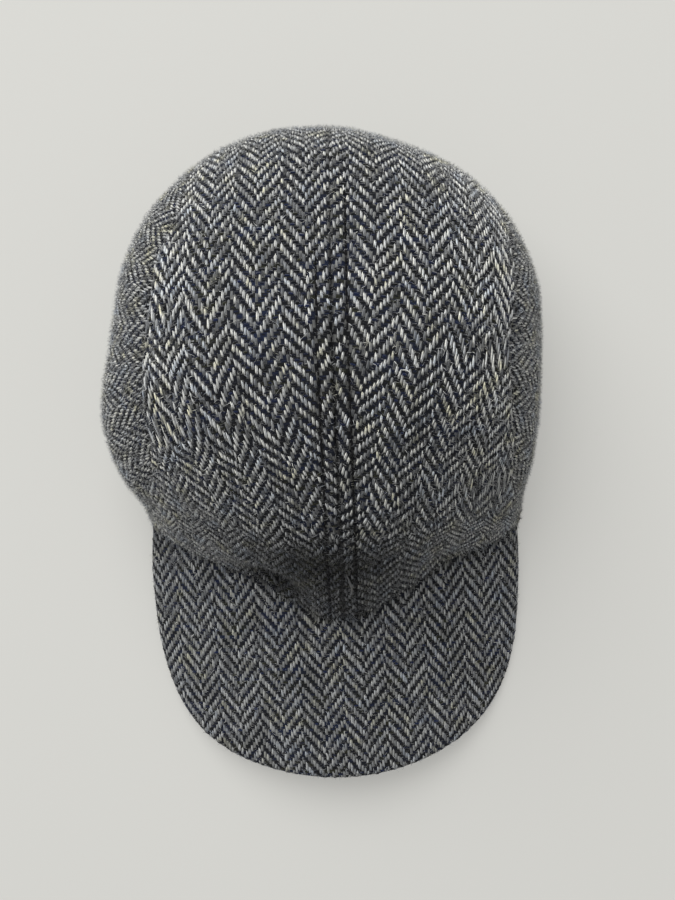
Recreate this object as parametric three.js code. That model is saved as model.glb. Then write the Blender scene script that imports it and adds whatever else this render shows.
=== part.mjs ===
import * as THREE from 'three';

// Wool cap with a short stiff peak, lying crown up on its rim and the peak's sides.
// Millimetres and degrees. +Y points to the back of the cap, the peak to -Y, +Z up.

// Cloth
const cloth = 2.0;
const hemCloth = 3.0;
const seamGap = 0.3;

// Peak
const peakThickness = 4.0;
const peakRearThickness = 3.4;
const peakEdgeThickness = 2.6;
const peakArchRadius = 155.0;
const peakHeight = 31.0;
const peakPitch = 0.17;
const peakSeamY = -81.4;
const peakSeamClearance = 0.75;
const peakSeamStart = 223.5;
const peakSeamEnd = 317.5;

// The summit is the crown's highest point. Every profile of the crown starts there.
const summit = { x: -1.4, y: 42.0, z: 111.0 };

// Each row is one profile of the crown's outer surface, in the direction of its azimuth (0 is +X, 90 the back).
// It runs from the summit through the crest, the shoulder and the bulge to the rim: R is the distance from the
// summit's axis and Z the height above the floor.
const crownColumns = ['azimuth', 'crestR', 'crestZ', 'shoulderR', 'shoulderZ', 'bulgeR', 'bulgeZ', 'rimR', 'rimZ'];
const crownTable = [
  [2, 42, 108.5, 73, 87, 91.8, 46, 86, 0],
  [18, 42, 108.0, 76, 86, 95.2, 46, 87, 0],
  [48, 43, 106.0, 80, 84, 99.0, 46, 90, 0],
  [72, 44, 103.0, 82, 82, 98.0, 47, 93, 0],
  [91, 45, 101.5, 84, 81, 99.8, 48, 94, 0],
  [112, 45, 102.0, 84, 80, 102.8, 47, 95, 0],
  [136, 44, 104.5, 83, 81, 102.6, 46, 93, 0],
  [150, 44, 106.0, 83, 82, 101.6, 46, 92, 0],
  [178, 43, 108.0, 79, 84, 98.5, 45, 86, 0],
  [198, 43, 107.5, 84, 80, 107.0, 42, 93, 0],
  [212, 44, 105.0, 89, 72, 108.0, 40, 105, 0.5],
  [222, 44, 104.0, 88, 70, 105.5, 37, 116, 4.8],
  [243, 43, 102.0, 83, 74, 99.0, 48, 110, 20.5],
  [258, 42, 101.0, 82, 77, 100.0, 52, 115, 25.4],
  [272, 42, 100.5, 82, 78, 103.0, 54, 123, 26.2],
  [285, 42, 101.0, 82, 77, 100.0, 52, 115, 25.2],
  [299, 43, 102.5, 82, 74, 99.0, 46, 110, 21],
  [319, 43, 105.0, 82, 72, 103.0, 40, 117, 4.8],
  [330, 43, 106.5, 80, 78, 100.0, 44, 103, 0.5],
  [345, 42, 108.0, 75, 85, 94.0, 46, 90, 0],
];

// The peak's free edge seen from above, from its rear corners to the tip. Each row is one distance along the cap.
// The shift moves that row sideways, because the stitched edge isn't quite even.
const peakEdgeColumns = ['halfWidth', 'y', 'shift'];
const peakEdgeTable = [
  [86.0, -36, -0.4],
  [87.0, -53, -0.3],
  [86.5, -71, 0.2],
  [84.3, -92, 0.8],
  [80.6, -106, 1.0],
  [74.0, -120, 0.7],
  [62.4, -133.4, -0.1],
  [49.2, -142, -0.5],
  [29, -149.3, -0.2],
  [0, -152.9, 0],
];

// A level counts the named points of a profile: 0 summit, 1 crest, 2 shoulder, 3 bulge, 4 rim.
const rimLevel = 4;
const hemStartLevel = 3.35;
const hemEndLevel = 3.5;

// The centre seam leaves the summit to the back and to the front at these azimuths.
const seamBack = 91.0;
const seamFront = 272.5;

// The side seams, by azimuth and level. They leave the rim near a peak corner and return to it at the back.
const sideSeamColumns = ['azimuth', 'level'];
const rightSideSeam = [
  [-41.5, 3.93],
  [-39, 3.2],
  [-35, 2.7],
  [-27, 2.3],
  [-12, 2.05],
  [3, 2.0],
  [21, 2.2],
  [39, 2.6],
  [51, 3.2],
  [63, 3.93],
];
const leftSideSeam = [
  [111, 3.93],
  [123, 3.1],
  [135, 2.25],
  [153, 1.95],
  [180, 1.95],
  [200, 1.95],
  [210, 2.0],
  [215, 2.3],
  [219, 3.1],
  [221, 3.93],
];

// Dents in the crown's wall, each a soft hollow around its azimuth and level.
const dentColumns = ['azimuth', 'level', 'azimuthSpread', 'levelSpread', 'depth'];
const dentTable = [
  [253, 3.5, 7, 0.35, 5.0],
  [296, 3.4, 8, 0.4, 2.0],
  [236, 2.35, 9, 0.3, 2.0],
];

// Mesh steps
const azimuthStep = 6;
const closestAzimuths = 2;
const topRows = 18;
const sideRows = 6;
const peakRows = 8;

// The middle of the whole cap, seen from above, becomes the origin.
const outlineCentre = { x: -6.62, y: -5.12 };

function named(columns, row) {
  return Object.fromEntries(columns.map((column, index) => [column, row[index]]));
}

// Slope at point i of a curve through unevenly spaced points: the weighted mean of its two neighbouring chords.
function slopeAt(xs, ys, i) {
  const last = xs.length - 1;
  const before = i > 0 ? (ys[i] - ys[i - 1]) / (xs[i] - xs[i - 1]) : undefined;
  const after = i < last ? (ys[i + 1] - ys[i]) / (xs[i + 1] - xs[i]) : undefined;
  if (before === undefined) return after;
  if (after === undefined) return before;
  const stepBefore = xs[i] - xs[i - 1];
  const stepAfter = xs[i + 1] - xs[i];
  return (before * stepAfter + after * stepBefore) / (stepBefore + stepAfter);
}

function smoothCurve(xs, ys, x) {
  let i = 0;
  while (i < xs.length - 2 && x >= xs[i + 1]) i += 1;
  const step = xs[i + 1] - xs[i];
  const t = (x - xs[i]) / step;
  const startShare = 2 * t ** 3 - 3 * t ** 2 + 1;
  const startPull = (t ** 3 - 2 * t ** 2 + t) * step;
  const endPull = (t ** 3 - t ** 2) * step;
  return startShare * ys[i] + startPull * slopeAt(xs, ys, i)
    + (1 - startShare) * ys[i + 1] + endPull * slopeAt(xs, ys, i + 1);
}

function wrapAngle(azimuth) {
  return ((azimuth % 360) + 360) % 360;
}

// The table's rows once round, with two more at each end so that the curve through them closes.
const turns = crownTable.length;
const roundIndices = Array.from({ length: turns + 4 }, (_, index) => index - 2);
const roundRows = roundIndices.map((index) => {
  const row = named(crownColumns, crownTable[(index + turns) % turns]);
  return { ...row, azimuth: row.azimuth + 360 * Math.floor(index / turns) };
});
const roundAzimuths = roundRows.map((row) => row.azimuth);

function crownSection(azimuth) {
  const wrapped = wrapAngle(azimuth);
  const read = (column) => smoothCurve(roundAzimuths, roundRows.map((row) => row[column]), wrapped);
  return Object.fromEntries(crownColumns.slice(1).map((column) => [column, read(column)]));
}

function angleBetween(a, b) {
  return wrapAngle(a - b + 180) - 180;
}

const dents = dentTable.map((row) => named(dentColumns, row));

function dentDepth(azimuth, level) {
  return dents.reduce((depth, dent) => {
    const across = angleBetween(azimuth, dent.azimuth) / dent.azimuthSpread;
    const down = (level - dent.level) / dent.levelSpread;
    return depth + dent.depth * Math.exp(-across * across - down * down);
  }, 0);
}

// A point of the crown's outer surface.
function crownPoint(azimuth, level) {
  const section = crownSection(azimuth);
  const radii = [-section.crestR, 0, section.crestR, section.shoulderR, section.bulgeR, section.rimR];
  const heights = [section.crestZ, summit.z, section.crestZ, section.shoulderZ, section.bulgeZ, Math.max(section.rimZ, 0)];
  const lengths = [0];
  for (let i = 1; i < radii.length; i += 1) {
    lengths.push(lengths[i - 1] + Math.hypot(radii[i] - radii[i - 1], heights[i] - heights[i - 1]));
  }
  const whole = Math.min(Math.floor(level), rimLevel - 1);
  const along = lengths[whole + 1] + (level - whole) * (lengths[whole + 2] - lengths[whole + 1]);
  const radius = smoothCurve(lengths, radii, along) - dentDepth(azimuth, level);
  const height = smoothCurve(lengths, heights, along);
  const angle = THREE.MathUtils.degToRad(azimuth);
  return new THREE.Vector3(summit.x + radius * Math.cos(angle), summit.y + radius * Math.sin(angle), height);
}

function crownNormal(azimuth, level) {
  if (level === 0) return new THREE.Vector3(0, 0, 1);
  const turn = 0.5;
  const drop = 0.01;
  const upper = Math.max(level - drop, 0.001);
  const lower = Math.min(level + drop, rimLevel);
  const round = crownPoint(azimuth + turn, level).sub(crownPoint(azimuth - turn, level));
  const down = crownPoint(azimuth, lower).sub(crownPoint(azimuth, upper));
  return down.cross(round).normalize();
}

function clothThickness(level) {
  return cloth + (hemCloth - cloth) * THREE.MathUtils.smoothstep(level, hemStartLevel, hemEndLevel);
}

// The inner surface lies one thickness of cloth behind the outer one. The rim is cut level.
function crownInnerPoint(azimuth, level) {
  const outer = crownPoint(azimuth, level);
  const inner = outer.clone().addScaledVector(crownNormal(azimuth, level), -clothThickness(level));
  if (level === rimLevel) inner.z = outer.z;
  return inner;
}

// A closed body from a grid of outer points and a grid of inner points, both indexed [column][row].
// Columns run anticlockwise seen from outside, rows downwards. Points that coincide are merged. The edges are
// split along matching diagonals, so that two panels lie side by side along a seam that twists.
function closedShell(outer, inner) {
  const positions = [];
  const known = new Map();
  const indexOf = (point) => {
    const key = `${point.x.toFixed(5)},${point.y.toFixed(5)},${point.z.toFixed(5)}`;
    if (!known.has(key)) {
      known.set(key, positions.length / 3);
      positions.push(point.x, point.y, point.z);
    }
    return known.get(key);
  };
  const faces = [];
  const triangle = (a, b, c) => {
    if (a !== b && b !== c && c !== a) faces.push(a, b, c);
  };
  const quad = (...points) => {
    const [a, b, c, d] = points.map(indexOf);
    triangle(a, b, c);
    triangle(a, c, d);
  };
  const columns = outer.length - 1;
  const rows = outer[0].length - 1;
  for (let i = 0; i < columns; i += 1) {
    for (let j = 0; j < rows; j += 1) {
      quad(outer[i][j], outer[i][j + 1], outer[i + 1][j + 1], outer[i + 1][j]);
      quad(inner[i + 1][j], inner[i + 1][j + 1], inner[i][j + 1], inner[i][j]);
    }
    quad(outer[i + 1][rows], outer[i][rows], inner[i][rows], inner[i + 1][rows]);
    quad(outer[i + 1][0], inner[i + 1][0], inner[i][0], outer[i][0]);
  }
  for (let j = 0; j < rows; j += 1) {
    quad(outer[0][j + 1], outer[0][j], inner[0][j], inner[0][j + 1]);
    quad(outer[columns][j + 1], inner[columns][j + 1], inner[columns][j], outer[columns][j]);
  }
  const geometry = new THREE.BufferGeometry();
  geometry.setAttribute('position', new THREE.Float32BufferAttribute(positions, 3));
  geometry.setIndex(faces);
  geometry.computeVertexNormals();
  return geometry;
}

// Azimuths from start to end: both ends, those that seams start or end at, and multiples of the step between them.
function azimuthsBetween(start, end, seamRows = []) {
  const fixed = [start, end];
  [...seamRows.map(([azimuth]) => azimuth), peakSeamStart, seamFront, peakSeamEnd].forEach((azimuth) => {
    const turned = start + wrapAngle(azimuth - start);
    if (turned > start && turned < end) fixed.push(turned);
  });
  const azimuths = [...fixed];
  for (let azimuth = Math.ceil(start / azimuthStep) * azimuthStep; azimuth < end; azimuth += azimuthStep) {
    if (fixed.every((other) => Math.abs(azimuth - other) > closestAzimuths)) azimuths.push(azimuth);
  }
  return azimuths.sort((a, b) => a - b);
}

function sideSeamLevel(table, azimuth) {
  const rows = table.map((row) => named(sideSeamColumns, row));
  const first = rows[0].azimuth;
  const turned = first + wrapAngle(azimuth - first);
  if (turned > rows.at(-1).azimuth + 0.001) return rimLevel;
  return smoothCurve(rows.map((row) => row.azimuth), rows.map((row) => row.level), turned);
}

// Half the seam's gap, as a share of a level near the side seams.
const levelLength = 40;
const seamLevelGap = seamGap / 2 / levelLength;

// One half of the top, from the centre seam at startAzimuth round to the centre seam at endAzimuth.
// Its seam edge is moved sideways by half the gap.
function topPanel(startAzimuth, endAzimuth, sideSeam, side) {
  const azimuths = azimuthsBetween(startAzimuth, endAzimuth, sideSeam);
  const shift = new THREE.Vector3((side * seamGap) / 2, 0, 0);
  const column = (pointAt) => azimuths.map((azimuth, i) => {
    const seamLevel = sideSeamLevel(sideSeam, azimuth);
    const lowest = seamLevel < rimLevel ? seamLevel - seamLevelGap : rimLevel;
    const onSeam = i === 0 || i === azimuths.length - 1;
    return Array.from({ length: topRows + 1 }, (_, j) => {
      const point = pointAt(j === 0 ? startAzimuth : azimuth, (lowest * j) / topRows);
      return onSeam || j === 0 ? point.add(shift) : point;
    });
  });
  return closedShell(column(crownPoint), column(crownInnerPoint));
}

// One side, from its seam down to the rim. It ends where the seam runs into the rim.
function sidePanel(sideSeam) {
  const azimuths = azimuthsBetween(sideSeam[0][0], sideSeam.at(-1)[0], sideSeam);
  const column = (pointAt) => azimuths.map((azimuth) => {
    const highest = sideSeamLevel(sideSeam, azimuth) + seamLevelGap;
    const share = (j) => (j === sideRows ? rimLevel : highest + ((rimLevel - highest) * j) / sideRows);
    return Array.from({ length: sideRows + 1 }, (_, j) => pointAt(azimuth, share(j)));
  });
  return closedShell(column(crownPoint), column(crownInnerPoint));
}

// Height of the peak's upper surface: an arch from side to side that falls towards the tip.
function peakSurfaceZ(x, y) {
  const arch = peakArchRadius - Math.sqrt(peakArchRadius ** 2 - x ** 2);
  return peakHeight + (y - peakSeamY) * peakPitch - arch;
}

// The point where the crown's wall meets the peak, at a depth under its upper surface.
function peakSeamPoint(azimuth, depth) {
  const wanted = (point) => peakSurfaceZ(point.x, point.y) - depth;
  let upper = 3;
  let lower = rimLevel;
  for (let i = 0; i < 30; i += 1) {
    const middle = (upper + lower) / 2;
    const point = crownPoint(azimuth, middle);
    if (point.z > wanted(point)) upper = middle;
    else lower = middle;
  }
  const point = crownPoint(azimuth, lower);
  const angle = THREE.MathUtils.degToRad(azimuth);
  point.x += peakSeamClearance * Math.cos(angle);
  point.y += peakSeamClearance * Math.sin(angle);
  point.z = wanted(point);
  return point;
}

// The points of the peak's edge from the left corner round the tip to the right corner, and their places along it.
const peakEdgeRows = peakEdgeTable.map((row) => named(peakEdgeColumns, row));
const peakEdgePoints = [
  ...peakEdgeRows.map((row) => ({ x: row.shift - row.halfWidth, y: row.y })),
  ...peakEdgeRows.slice(0, -1).reverse().map((row) => ({ x: row.shift + row.halfWidth, y: row.y })),
];
const peakEdgePlaces = [0];
for (let i = 1; i < peakEdgePoints.length; i += 1) {
  const across = peakEdgePoints[i].x - peakEdgePoints[i - 1].x;
  const along = peakEdgePoints[i].y - peakEdgePoints[i - 1].y;
  peakEdgePlaces.push(peakEdgePlaces[i - 1] + Math.hypot(across, along));
}

// A point of the peak's free edge. The share runs from 0 at the left corner to 1 at the right one.
function peakEdgePoint(share) {
  const place = share * peakEdgePlaces.at(-1);
  return {
    x: smoothCurve(peakEdgePlaces, peakEdgePoints.map((point) => point.x), place),
    y: smoothCurve(peakEdgePlaces, peakEdgePoints.map((point) => point.y), place),
  };
}

function peakBoard() {
  const azimuths = azimuthsBetween(peakSeamStart, peakSeamEnd);
  const span = peakSeamEnd - peakSeamStart;
  const layer = (seamDepth, surfaceDepth, edgeDepth) => azimuths.map((azimuth) => {
    const rear = peakSeamPoint(azimuth, seamDepth);
    const front = peakEdgePoint((azimuth - peakSeamStart) / span);
    return Array.from({ length: peakRows + 1 }, (_, j) => {
      if (j === 0) return rear;
      const share = j / peakRows;
      const x = THREE.MathUtils.lerp(rear.x, front.x, share);
      const y = THREE.MathUtils.lerp(rear.y, front.y, share);
      const depth = j === peakRows ? edgeDepth : surfaceDepth;
      return new THREE.Vector3(x, y, peakSurfaceZ(x, y) - depth);
    });
  });
  const edgeInset = (peakThickness - peakEdgeThickness) / 2;
  const upper = layer(0, 0, edgeInset);
  const lower = layer(peakRearThickness, peakThickness, peakThickness - edgeInset);
  return closedShell(upper, lower);
}

function clothMaterial(color) {
  return new THREE.MeshStandardMaterial({ color, roughness: 0.95, metalness: 0, side: THREE.FrontSide });
}

function piece(name, geometry, color) {
  const mesh = new THREE.Mesh(geometry, clothMaterial(color));
  mesh.name = name;
  return mesh;
}

const cap = new THREE.Group();
cap.name = 'wool_cap';
cap.add(piece('top_left', topPanel(seamBack, seamFront, leftSideSeam, -1), 0x5d6062));
cap.add(piece('top_right', topPanel(seamFront, seamBack + 360, rightSideSeam, 1), 0x575a5a));
cap.add(piece('side_left', sidePanel(leftSideSeam), 0x646768));
cap.add(piece('side_right', sidePanel(rightSideSeam), 0x555756));
cap.add(piece('peak', peakBoard(), 0x4f5151));
cap.position.set(-outlineCentre.x, -outlineCentre.y, 0);

export default cap;
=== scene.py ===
"""Looks of a grey herringbone wool cap with a short peak, lying crown up on a pale floor.

The crown and the peak follow the same section tables as the part's solids, in finer steps. Light warp
threads and dark weft threads lie on the cloth as small separate solids, and the seams, stitches and loose
wool fibres are built on the same surfaces. Tables are in millimetres and degrees, and every mesh is in
metres.
"""
import logging
import math
from dataclasses import dataclass
from enum import Enum
from typing import Iterator, Sequence, Union

import bpy
import bmesh
import numpy as np
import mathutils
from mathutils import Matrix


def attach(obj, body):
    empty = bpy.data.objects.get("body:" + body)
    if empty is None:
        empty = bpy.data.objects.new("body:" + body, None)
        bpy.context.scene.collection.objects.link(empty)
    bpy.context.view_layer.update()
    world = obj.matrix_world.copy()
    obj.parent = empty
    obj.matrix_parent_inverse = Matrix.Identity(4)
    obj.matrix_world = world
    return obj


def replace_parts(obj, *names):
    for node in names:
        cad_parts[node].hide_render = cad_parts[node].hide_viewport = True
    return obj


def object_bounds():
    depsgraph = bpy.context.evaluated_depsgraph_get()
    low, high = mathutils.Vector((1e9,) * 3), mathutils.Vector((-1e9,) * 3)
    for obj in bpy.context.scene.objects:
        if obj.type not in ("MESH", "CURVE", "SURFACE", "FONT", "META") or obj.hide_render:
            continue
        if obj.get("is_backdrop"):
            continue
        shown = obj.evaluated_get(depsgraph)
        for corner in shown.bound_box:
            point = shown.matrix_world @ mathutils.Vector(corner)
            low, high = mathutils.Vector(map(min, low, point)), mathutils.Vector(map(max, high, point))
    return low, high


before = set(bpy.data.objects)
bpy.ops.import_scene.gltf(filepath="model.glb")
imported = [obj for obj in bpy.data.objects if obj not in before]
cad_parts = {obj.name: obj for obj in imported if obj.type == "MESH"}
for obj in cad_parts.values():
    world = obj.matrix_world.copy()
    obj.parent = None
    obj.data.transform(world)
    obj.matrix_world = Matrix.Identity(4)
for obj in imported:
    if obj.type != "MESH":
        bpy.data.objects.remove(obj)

LOG = logging.getLogger("wool_cap")
CAD_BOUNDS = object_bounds()
MM = 0.001

Table = Sequence[Sequence[float]]
Colour = tuple[float, float, float, float]
Vector = tuple[float, float, float]
Socket = bpy.types.NodeSocket
Feed = Union[bpy.types.NodeSocket, bpy.types.Material, float, str, tuple]
Inputs = dict[Union[int, str], Feed]

# The middle of the cap, from the point under the camera that the tables are measured from.
CENTRE_X = -6.62
CENTRE_Y = -5.12

SUMMIT = (-1.4, 42.0, 111.0)
RIM_LEVEL = 4.0
RIM_MARGIN = 1e-6
SEAM_BACK = 91.0
SEAM_FRONT = 272.5

CROWN_COLUMNS = ("azimuth", "crestR", "crestZ", "shoulderR", "shoulderZ", "bulgeR", "bulgeZ", "rimR", "rimZ")
CROWN_TABLE = (
    (2, 42, 108.5, 73, 87, 91.8, 46, 86, 0),
    (18, 42, 108.0, 76, 86, 95.2, 46, 87, 0),
    (48, 43, 106.0, 80, 84, 99.0, 46, 90, 0),
    (72, 44, 103.0, 82, 82, 98.0, 47, 93, 0),
    (91, 45, 101.5, 84, 81, 99.8, 48, 94, 0),
    (112, 45, 102.0, 84, 80, 102.8, 47, 95, 0),
    (136, 44, 104.5, 83, 81, 102.6, 46, 93, 0),
    (150, 44, 106.0, 83, 82, 101.6, 46, 92, 0),
    (178, 43, 108.0, 79, 84, 98.5, 45, 86, 0),
    (198, 43, 107.5, 84, 80, 107.0, 42, 93, 0),
    (212, 44, 105.0, 89, 72, 108.0, 40, 105, 0.5),
    (222, 44, 104.0, 88, 70, 105.5, 37, 116, 4.8),
    (243, 43, 102.0, 83, 74, 99.0, 48, 110, 20.5),
    (258, 42, 101.0, 82, 77, 100.0, 52, 115, 25.4),
    (272, 42, 100.5, 82, 78, 103.0, 54, 123, 26.2),
    (285, 42, 101.0, 82, 77, 100.0, 52, 115, 25.2),
    (299, 43, 102.5, 82, 74, 99.0, 46, 110, 21),
    (319, 43, 105.0, 82, 72, 103.0, 40, 117, 4.8),
    (330, 43, 106.5, 80, 78, 100.0, 44, 103, 0.5),
    (345, 42, 108.0, 75, 85, 94.0, 46, 90, 0),
)

# Side seams by azimuth and level.
RIGHT_SEAM = (
    (-41.5, 3.93), (-39, 3.2), (-35, 2.7), (-27, 2.3), (-12, 2.05),
    (3, 2.0), (21, 2.2), (39, 2.6), (51, 3.2), (63, 3.93),
)
LEFT_SEAM = (
    (111, 3.93), (123, 3.1), (135, 2.25), (153, 1.95), (180, 1.95),
    (200, 1.95), (210, 2.0), (215, 2.3), (219, 3.1), (221, 3.93),
)

# Soft hollows of the crown's wall: azimuth, level, azimuth spread, level spread and depth.
DENT_TABLE = (
    (253, 3.5, 7, 0.35, 5.0),
    (296, 3.4, 8, 0.4, 2.0),
    (236, 2.35, 9, 0.3, 2.0),
)

# Sharper folds in the cloth of the crown's top, in the same columns, and their rise in level per degree.
FOLD_TABLE = (
    (255, 3.35, 6, 0.25, 4.0, 0),
    (263, 2.5, 10, 0.2, 1.2, 0),
    (284, 2.55, 9, 0.2, 1.0, 0),
    (166.5, 1.6, 6.5, 0.055, 1.5, 0.027),
)

# Sideways run of the stripes on the top, in half stripes, by distance behind the summit in millimetres.
# Near is beside the centre seam and far is SHIFT_REACH away from it.
SHIFT_REACH = 60.0
RIGHT_SHIFT = (
    (-110, 1.7, 0.6), (-92, 1.55, 0.5), (-72, 1.0, 0.38), (-62, 0.75, 0.32), (-52, 0.6, 0.28),
    (-35, 0.27, 0.05), (-19, -0.05, -0.33), (-3, -0.36, -0.68), (13, -0.52, -0.9), (38, -0.7, -1.2),
    (70, -0.75, -1.3), (130, -0.75, -1.3),
)
LEFT_SHIFT = (
    (-110, 2.0, 1.6), (-92, 1.9, 1.5), (-72, 1.55, 1.25), (-62, 1.33, 1.15), (-52, 1.1, 0.9),
    (-35, 0.64, 0.4), (-19, 0.4, 0.05), (-3, 0.25, -0.12), (13, 0.08, -0.15), (38, 0.0, -0.15),
    (70, 0.0, -0.15), (130, 0.0, -0.15),
)

# The peak's free edge: half its width, its distance along the cap and its sideways shift.
PEAK_EDGE = (
    (86.0, -36, -0.4), (87.0, -53, -0.3), (86.5, -71, 0.2), (84.3, -92, 0.8), (80.6, -106, 1.0),
    (74.0, -120, 0.7), (62.4, -133.4, -0.1), (49.2, -142, -0.5), (29, -149.3, -0.2), (0, -152.9, 0),
)

# Gentle unevenness of soft cloth: each wave's direction and start.
RIPPLE_WAVES = (
    (0.19, 0.05, 0.11, 0.3), (-0.07, 0.21, 0.06, 1.7), (0.12, -0.13, 0.19, 4.1),
    (0.30, 0.22, -0.15, 2.2), (-0.26, 0.31, 0.20, 5.3),
)


class Side(Enum):
    """A side of the cap, seen from above with the peak towards the viewer."""

    LEFT = -1
    RIGHT = 1


def hermite(knots: np.ndarray, values: np.ndarray, place: np.ndarray) -> np.ndarray:
    """Smooth curve through unevenly spaced points.

    Args:
        knots: Places of the points, shape (n,) or (samples, n), rising.
        values: Values at the points, shape (n,) or (samples, n).
        place: Where to read the curve, shape (samples,).

    Returns:
        The curve's values, shape (samples,).
    """
    knots = np.broadcast_to(knots, (len(place), np.shape(knots)[-1]))
    values = np.broadcast_to(values, knots.shape)
    steps = np.diff(knots, axis=1)
    chords = np.diff(values, axis=1) / steps
    inner = (chords[:, :-1] * steps[:, 1:] + chords[:, 1:] * steps[:, :-1]) / (steps[:, 1:] + steps[:, :-1])
    slopes = np.concatenate([chords[:, :1], inner, chords[:, -1:]], axis=1)
    index = np.clip((place[:, None] >= knots[:, 1:-1]).sum(axis=1), 0, knots.shape[1] - 2)
    rows = np.arange(len(place))
    step = steps[rows, index]
    t = (place - knots[rows, index]) / step
    start = 2 * t**3 - 3 * t**2 + 1
    pull_start = (t**3 - 2 * t**2 + t) * step * slopes[rows, index]
    pull_end = (t**3 - t**2) * step * slopes[rows, index + 1]
    return start * values[rows, index] + pull_start + (1 - start) * values[rows, index + 1] + pull_end


def column(table: Table, index: int) -> np.ndarray:
    """Returns one column of a table as an array."""
    return np.array([row[index] for row in table], dtype=float)


def smoothstep(low: float, high: float, x: np.ndarray) -> np.ndarray:
    """Returns 0 below low, 1 above high and a smooth rise between them."""
    t = np.clip((x - low) / (high - low), 0, 1)
    return t * t * (3 - 2 * t)


def dip(x: np.ndarray, centre: float, spread: float) -> np.ndarray:
    """Returns a soft bump of height 1 at the centre."""
    return np.exp(-(((x - centre) / spread) ** 2))


def ripple(points: np.ndarray) -> np.ndarray:
    """Returns the cloth's gentle unevenness, between about -1 and 1, at points of shape (..., 3)."""
    total = sum(np.sin(points @ np.array(wave[:3]) + wave[3]) for wave in RIPPLE_WAVES)
    return total / len(RIPPLE_WAVES)


def azimuth_from(azimuth: np.ndarray, middle: float) -> np.ndarray:
    """Returns azimuths measured from a middle one, between -180 and 180."""
    return np.mod(azimuth - middle + 180, 360) - 180


def to_metres(points: np.ndarray) -> np.ndarray:
    """Returns points of the tables in metres, in the cap's own frame."""
    return (points - np.array([CENTRE_X, CENTRE_Y, 0.0])) * MM


@dataclass(frozen=True)
class CrownShape:
    """The crown's outer surface, by azimuth and level. Normals are taken across small steps of both."""

    azimuth_step: float = 0.4
    level_step: float = 0.01
    first_level: float = 0.004
    flat_level: float = 0.015
    round_level: float = 0.02

    def section(self, azimuth: np.ndarray) -> dict[str, np.ndarray]:
        """Returns each column of the section table at the azimuths."""
        base = column(CROWN_TABLE, 0)
        round_base = np.concatenate([base[-2:] - 360, base, base[:2] + 360])
        wrapped = np.mod(azimuth, 360)
        values = {}
        for index, name in enumerate(CROWN_COLUMNS[1:], start=1):
            data = column(CROWN_TABLE, index)
            values[name] = hermite(round_base, np.concatenate([data[-2:], data, data[:2]]), wrapped)
        return values

    def point(self, azimuth: np.ndarray, level: np.ndarray) -> np.ndarray:
        """Returns points of the surface in millimetres, shape (..., 3)."""
        shape = np.broadcast_shapes(np.shape(azimuth), np.shape(level))
        azimuth = np.broadcast_to(azimuth, shape).ravel().astype(float)
        level = np.broadcast_to(level, shape).ravel().astype(float)
        section = self.section(azimuth)
        zero = np.zeros_like(azimuth)
        crest = section["crestR"]
        outward = [-crest, zero, crest, section["shoulderR"], section["bulgeR"], section["rimR"]]
        radii = np.stack(outward, axis=1)
        top = np.full_like(azimuth, SUMMIT[2])
        low = np.maximum(section["rimZ"], 0)
        heights = np.stack(
            [section["crestZ"], top, section["crestZ"], section["shoulderZ"], section["bulgeZ"], low], axis=1
        )
        chords = np.hypot(np.diff(radii, axis=1), np.diff(heights, axis=1))
        lengths = np.concatenate([zero[:, None], np.cumsum(chords, axis=1)], axis=1)
        whole = np.clip(np.floor(level), 0, RIM_LEVEL - 1).astype(int)
        rows = np.arange(len(level))
        start, end = lengths[rows, whole + 1], lengths[rows, whole + 2]
        place = start + (level - whole) * (end - start)
        radius = hermite(lengths, radii, place)
        for centre, middle, across, down, depth in DENT_TABLE:
            turn = azimuth_from(azimuth, centre)
            radius = radius - depth * np.exp(-((turn / across) ** 2) - ((level - middle) / down) ** 2)
        height = hermite(lengths, heights, place)
        angle = np.radians(azimuth)
        points = np.stack(
            [SUMMIT[0] + radius * np.cos(angle), SUMMIT[1] + radius * np.sin(angle), height], axis=-1
        )
        return points.reshape(shape + (3,))

    def normal(self, azimuth: np.ndarray, level: np.ndarray) -> np.ndarray:
        """Returns outward normals, shape (..., 3)."""
        azimuth, level = np.broadcast_arrays(np.asarray(azimuth, float), np.asarray(level, float))
        upper = np.maximum(level - self.level_step, self.first_level)
        lower = np.minimum(np.maximum(level, self.first_level) + self.level_step, RIM_LEVEL)
        near = np.maximum(level, self.round_level)
        turn = self.azimuth_step
        round_step = self.point(azimuth + turn, near) - self.point(azimuth - turn, near)
        down_step = self.point(azimuth, lower) - self.point(azimuth, upper)
        normal = np.cross(down_step, round_step)
        normal /= np.linalg.norm(normal, axis=-1, keepdims=True)
        normal[level < self.flat_level] = (0, 0, 1)
        return normal

    def profile_length(self, azimuth: np.ndarray, level: np.ndarray, steps: int = 16) -> np.ndarray:
        """Returns the length of the profile from the summit to each point of a grid."""
        share = np.linspace(0, 1, steps + 1)
        fine = self.point(azimuth[..., None], level[..., None] * share)
        return np.linalg.norm(np.diff(fine, axis=-2), axis=-1).sum(axis=-1)


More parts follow.
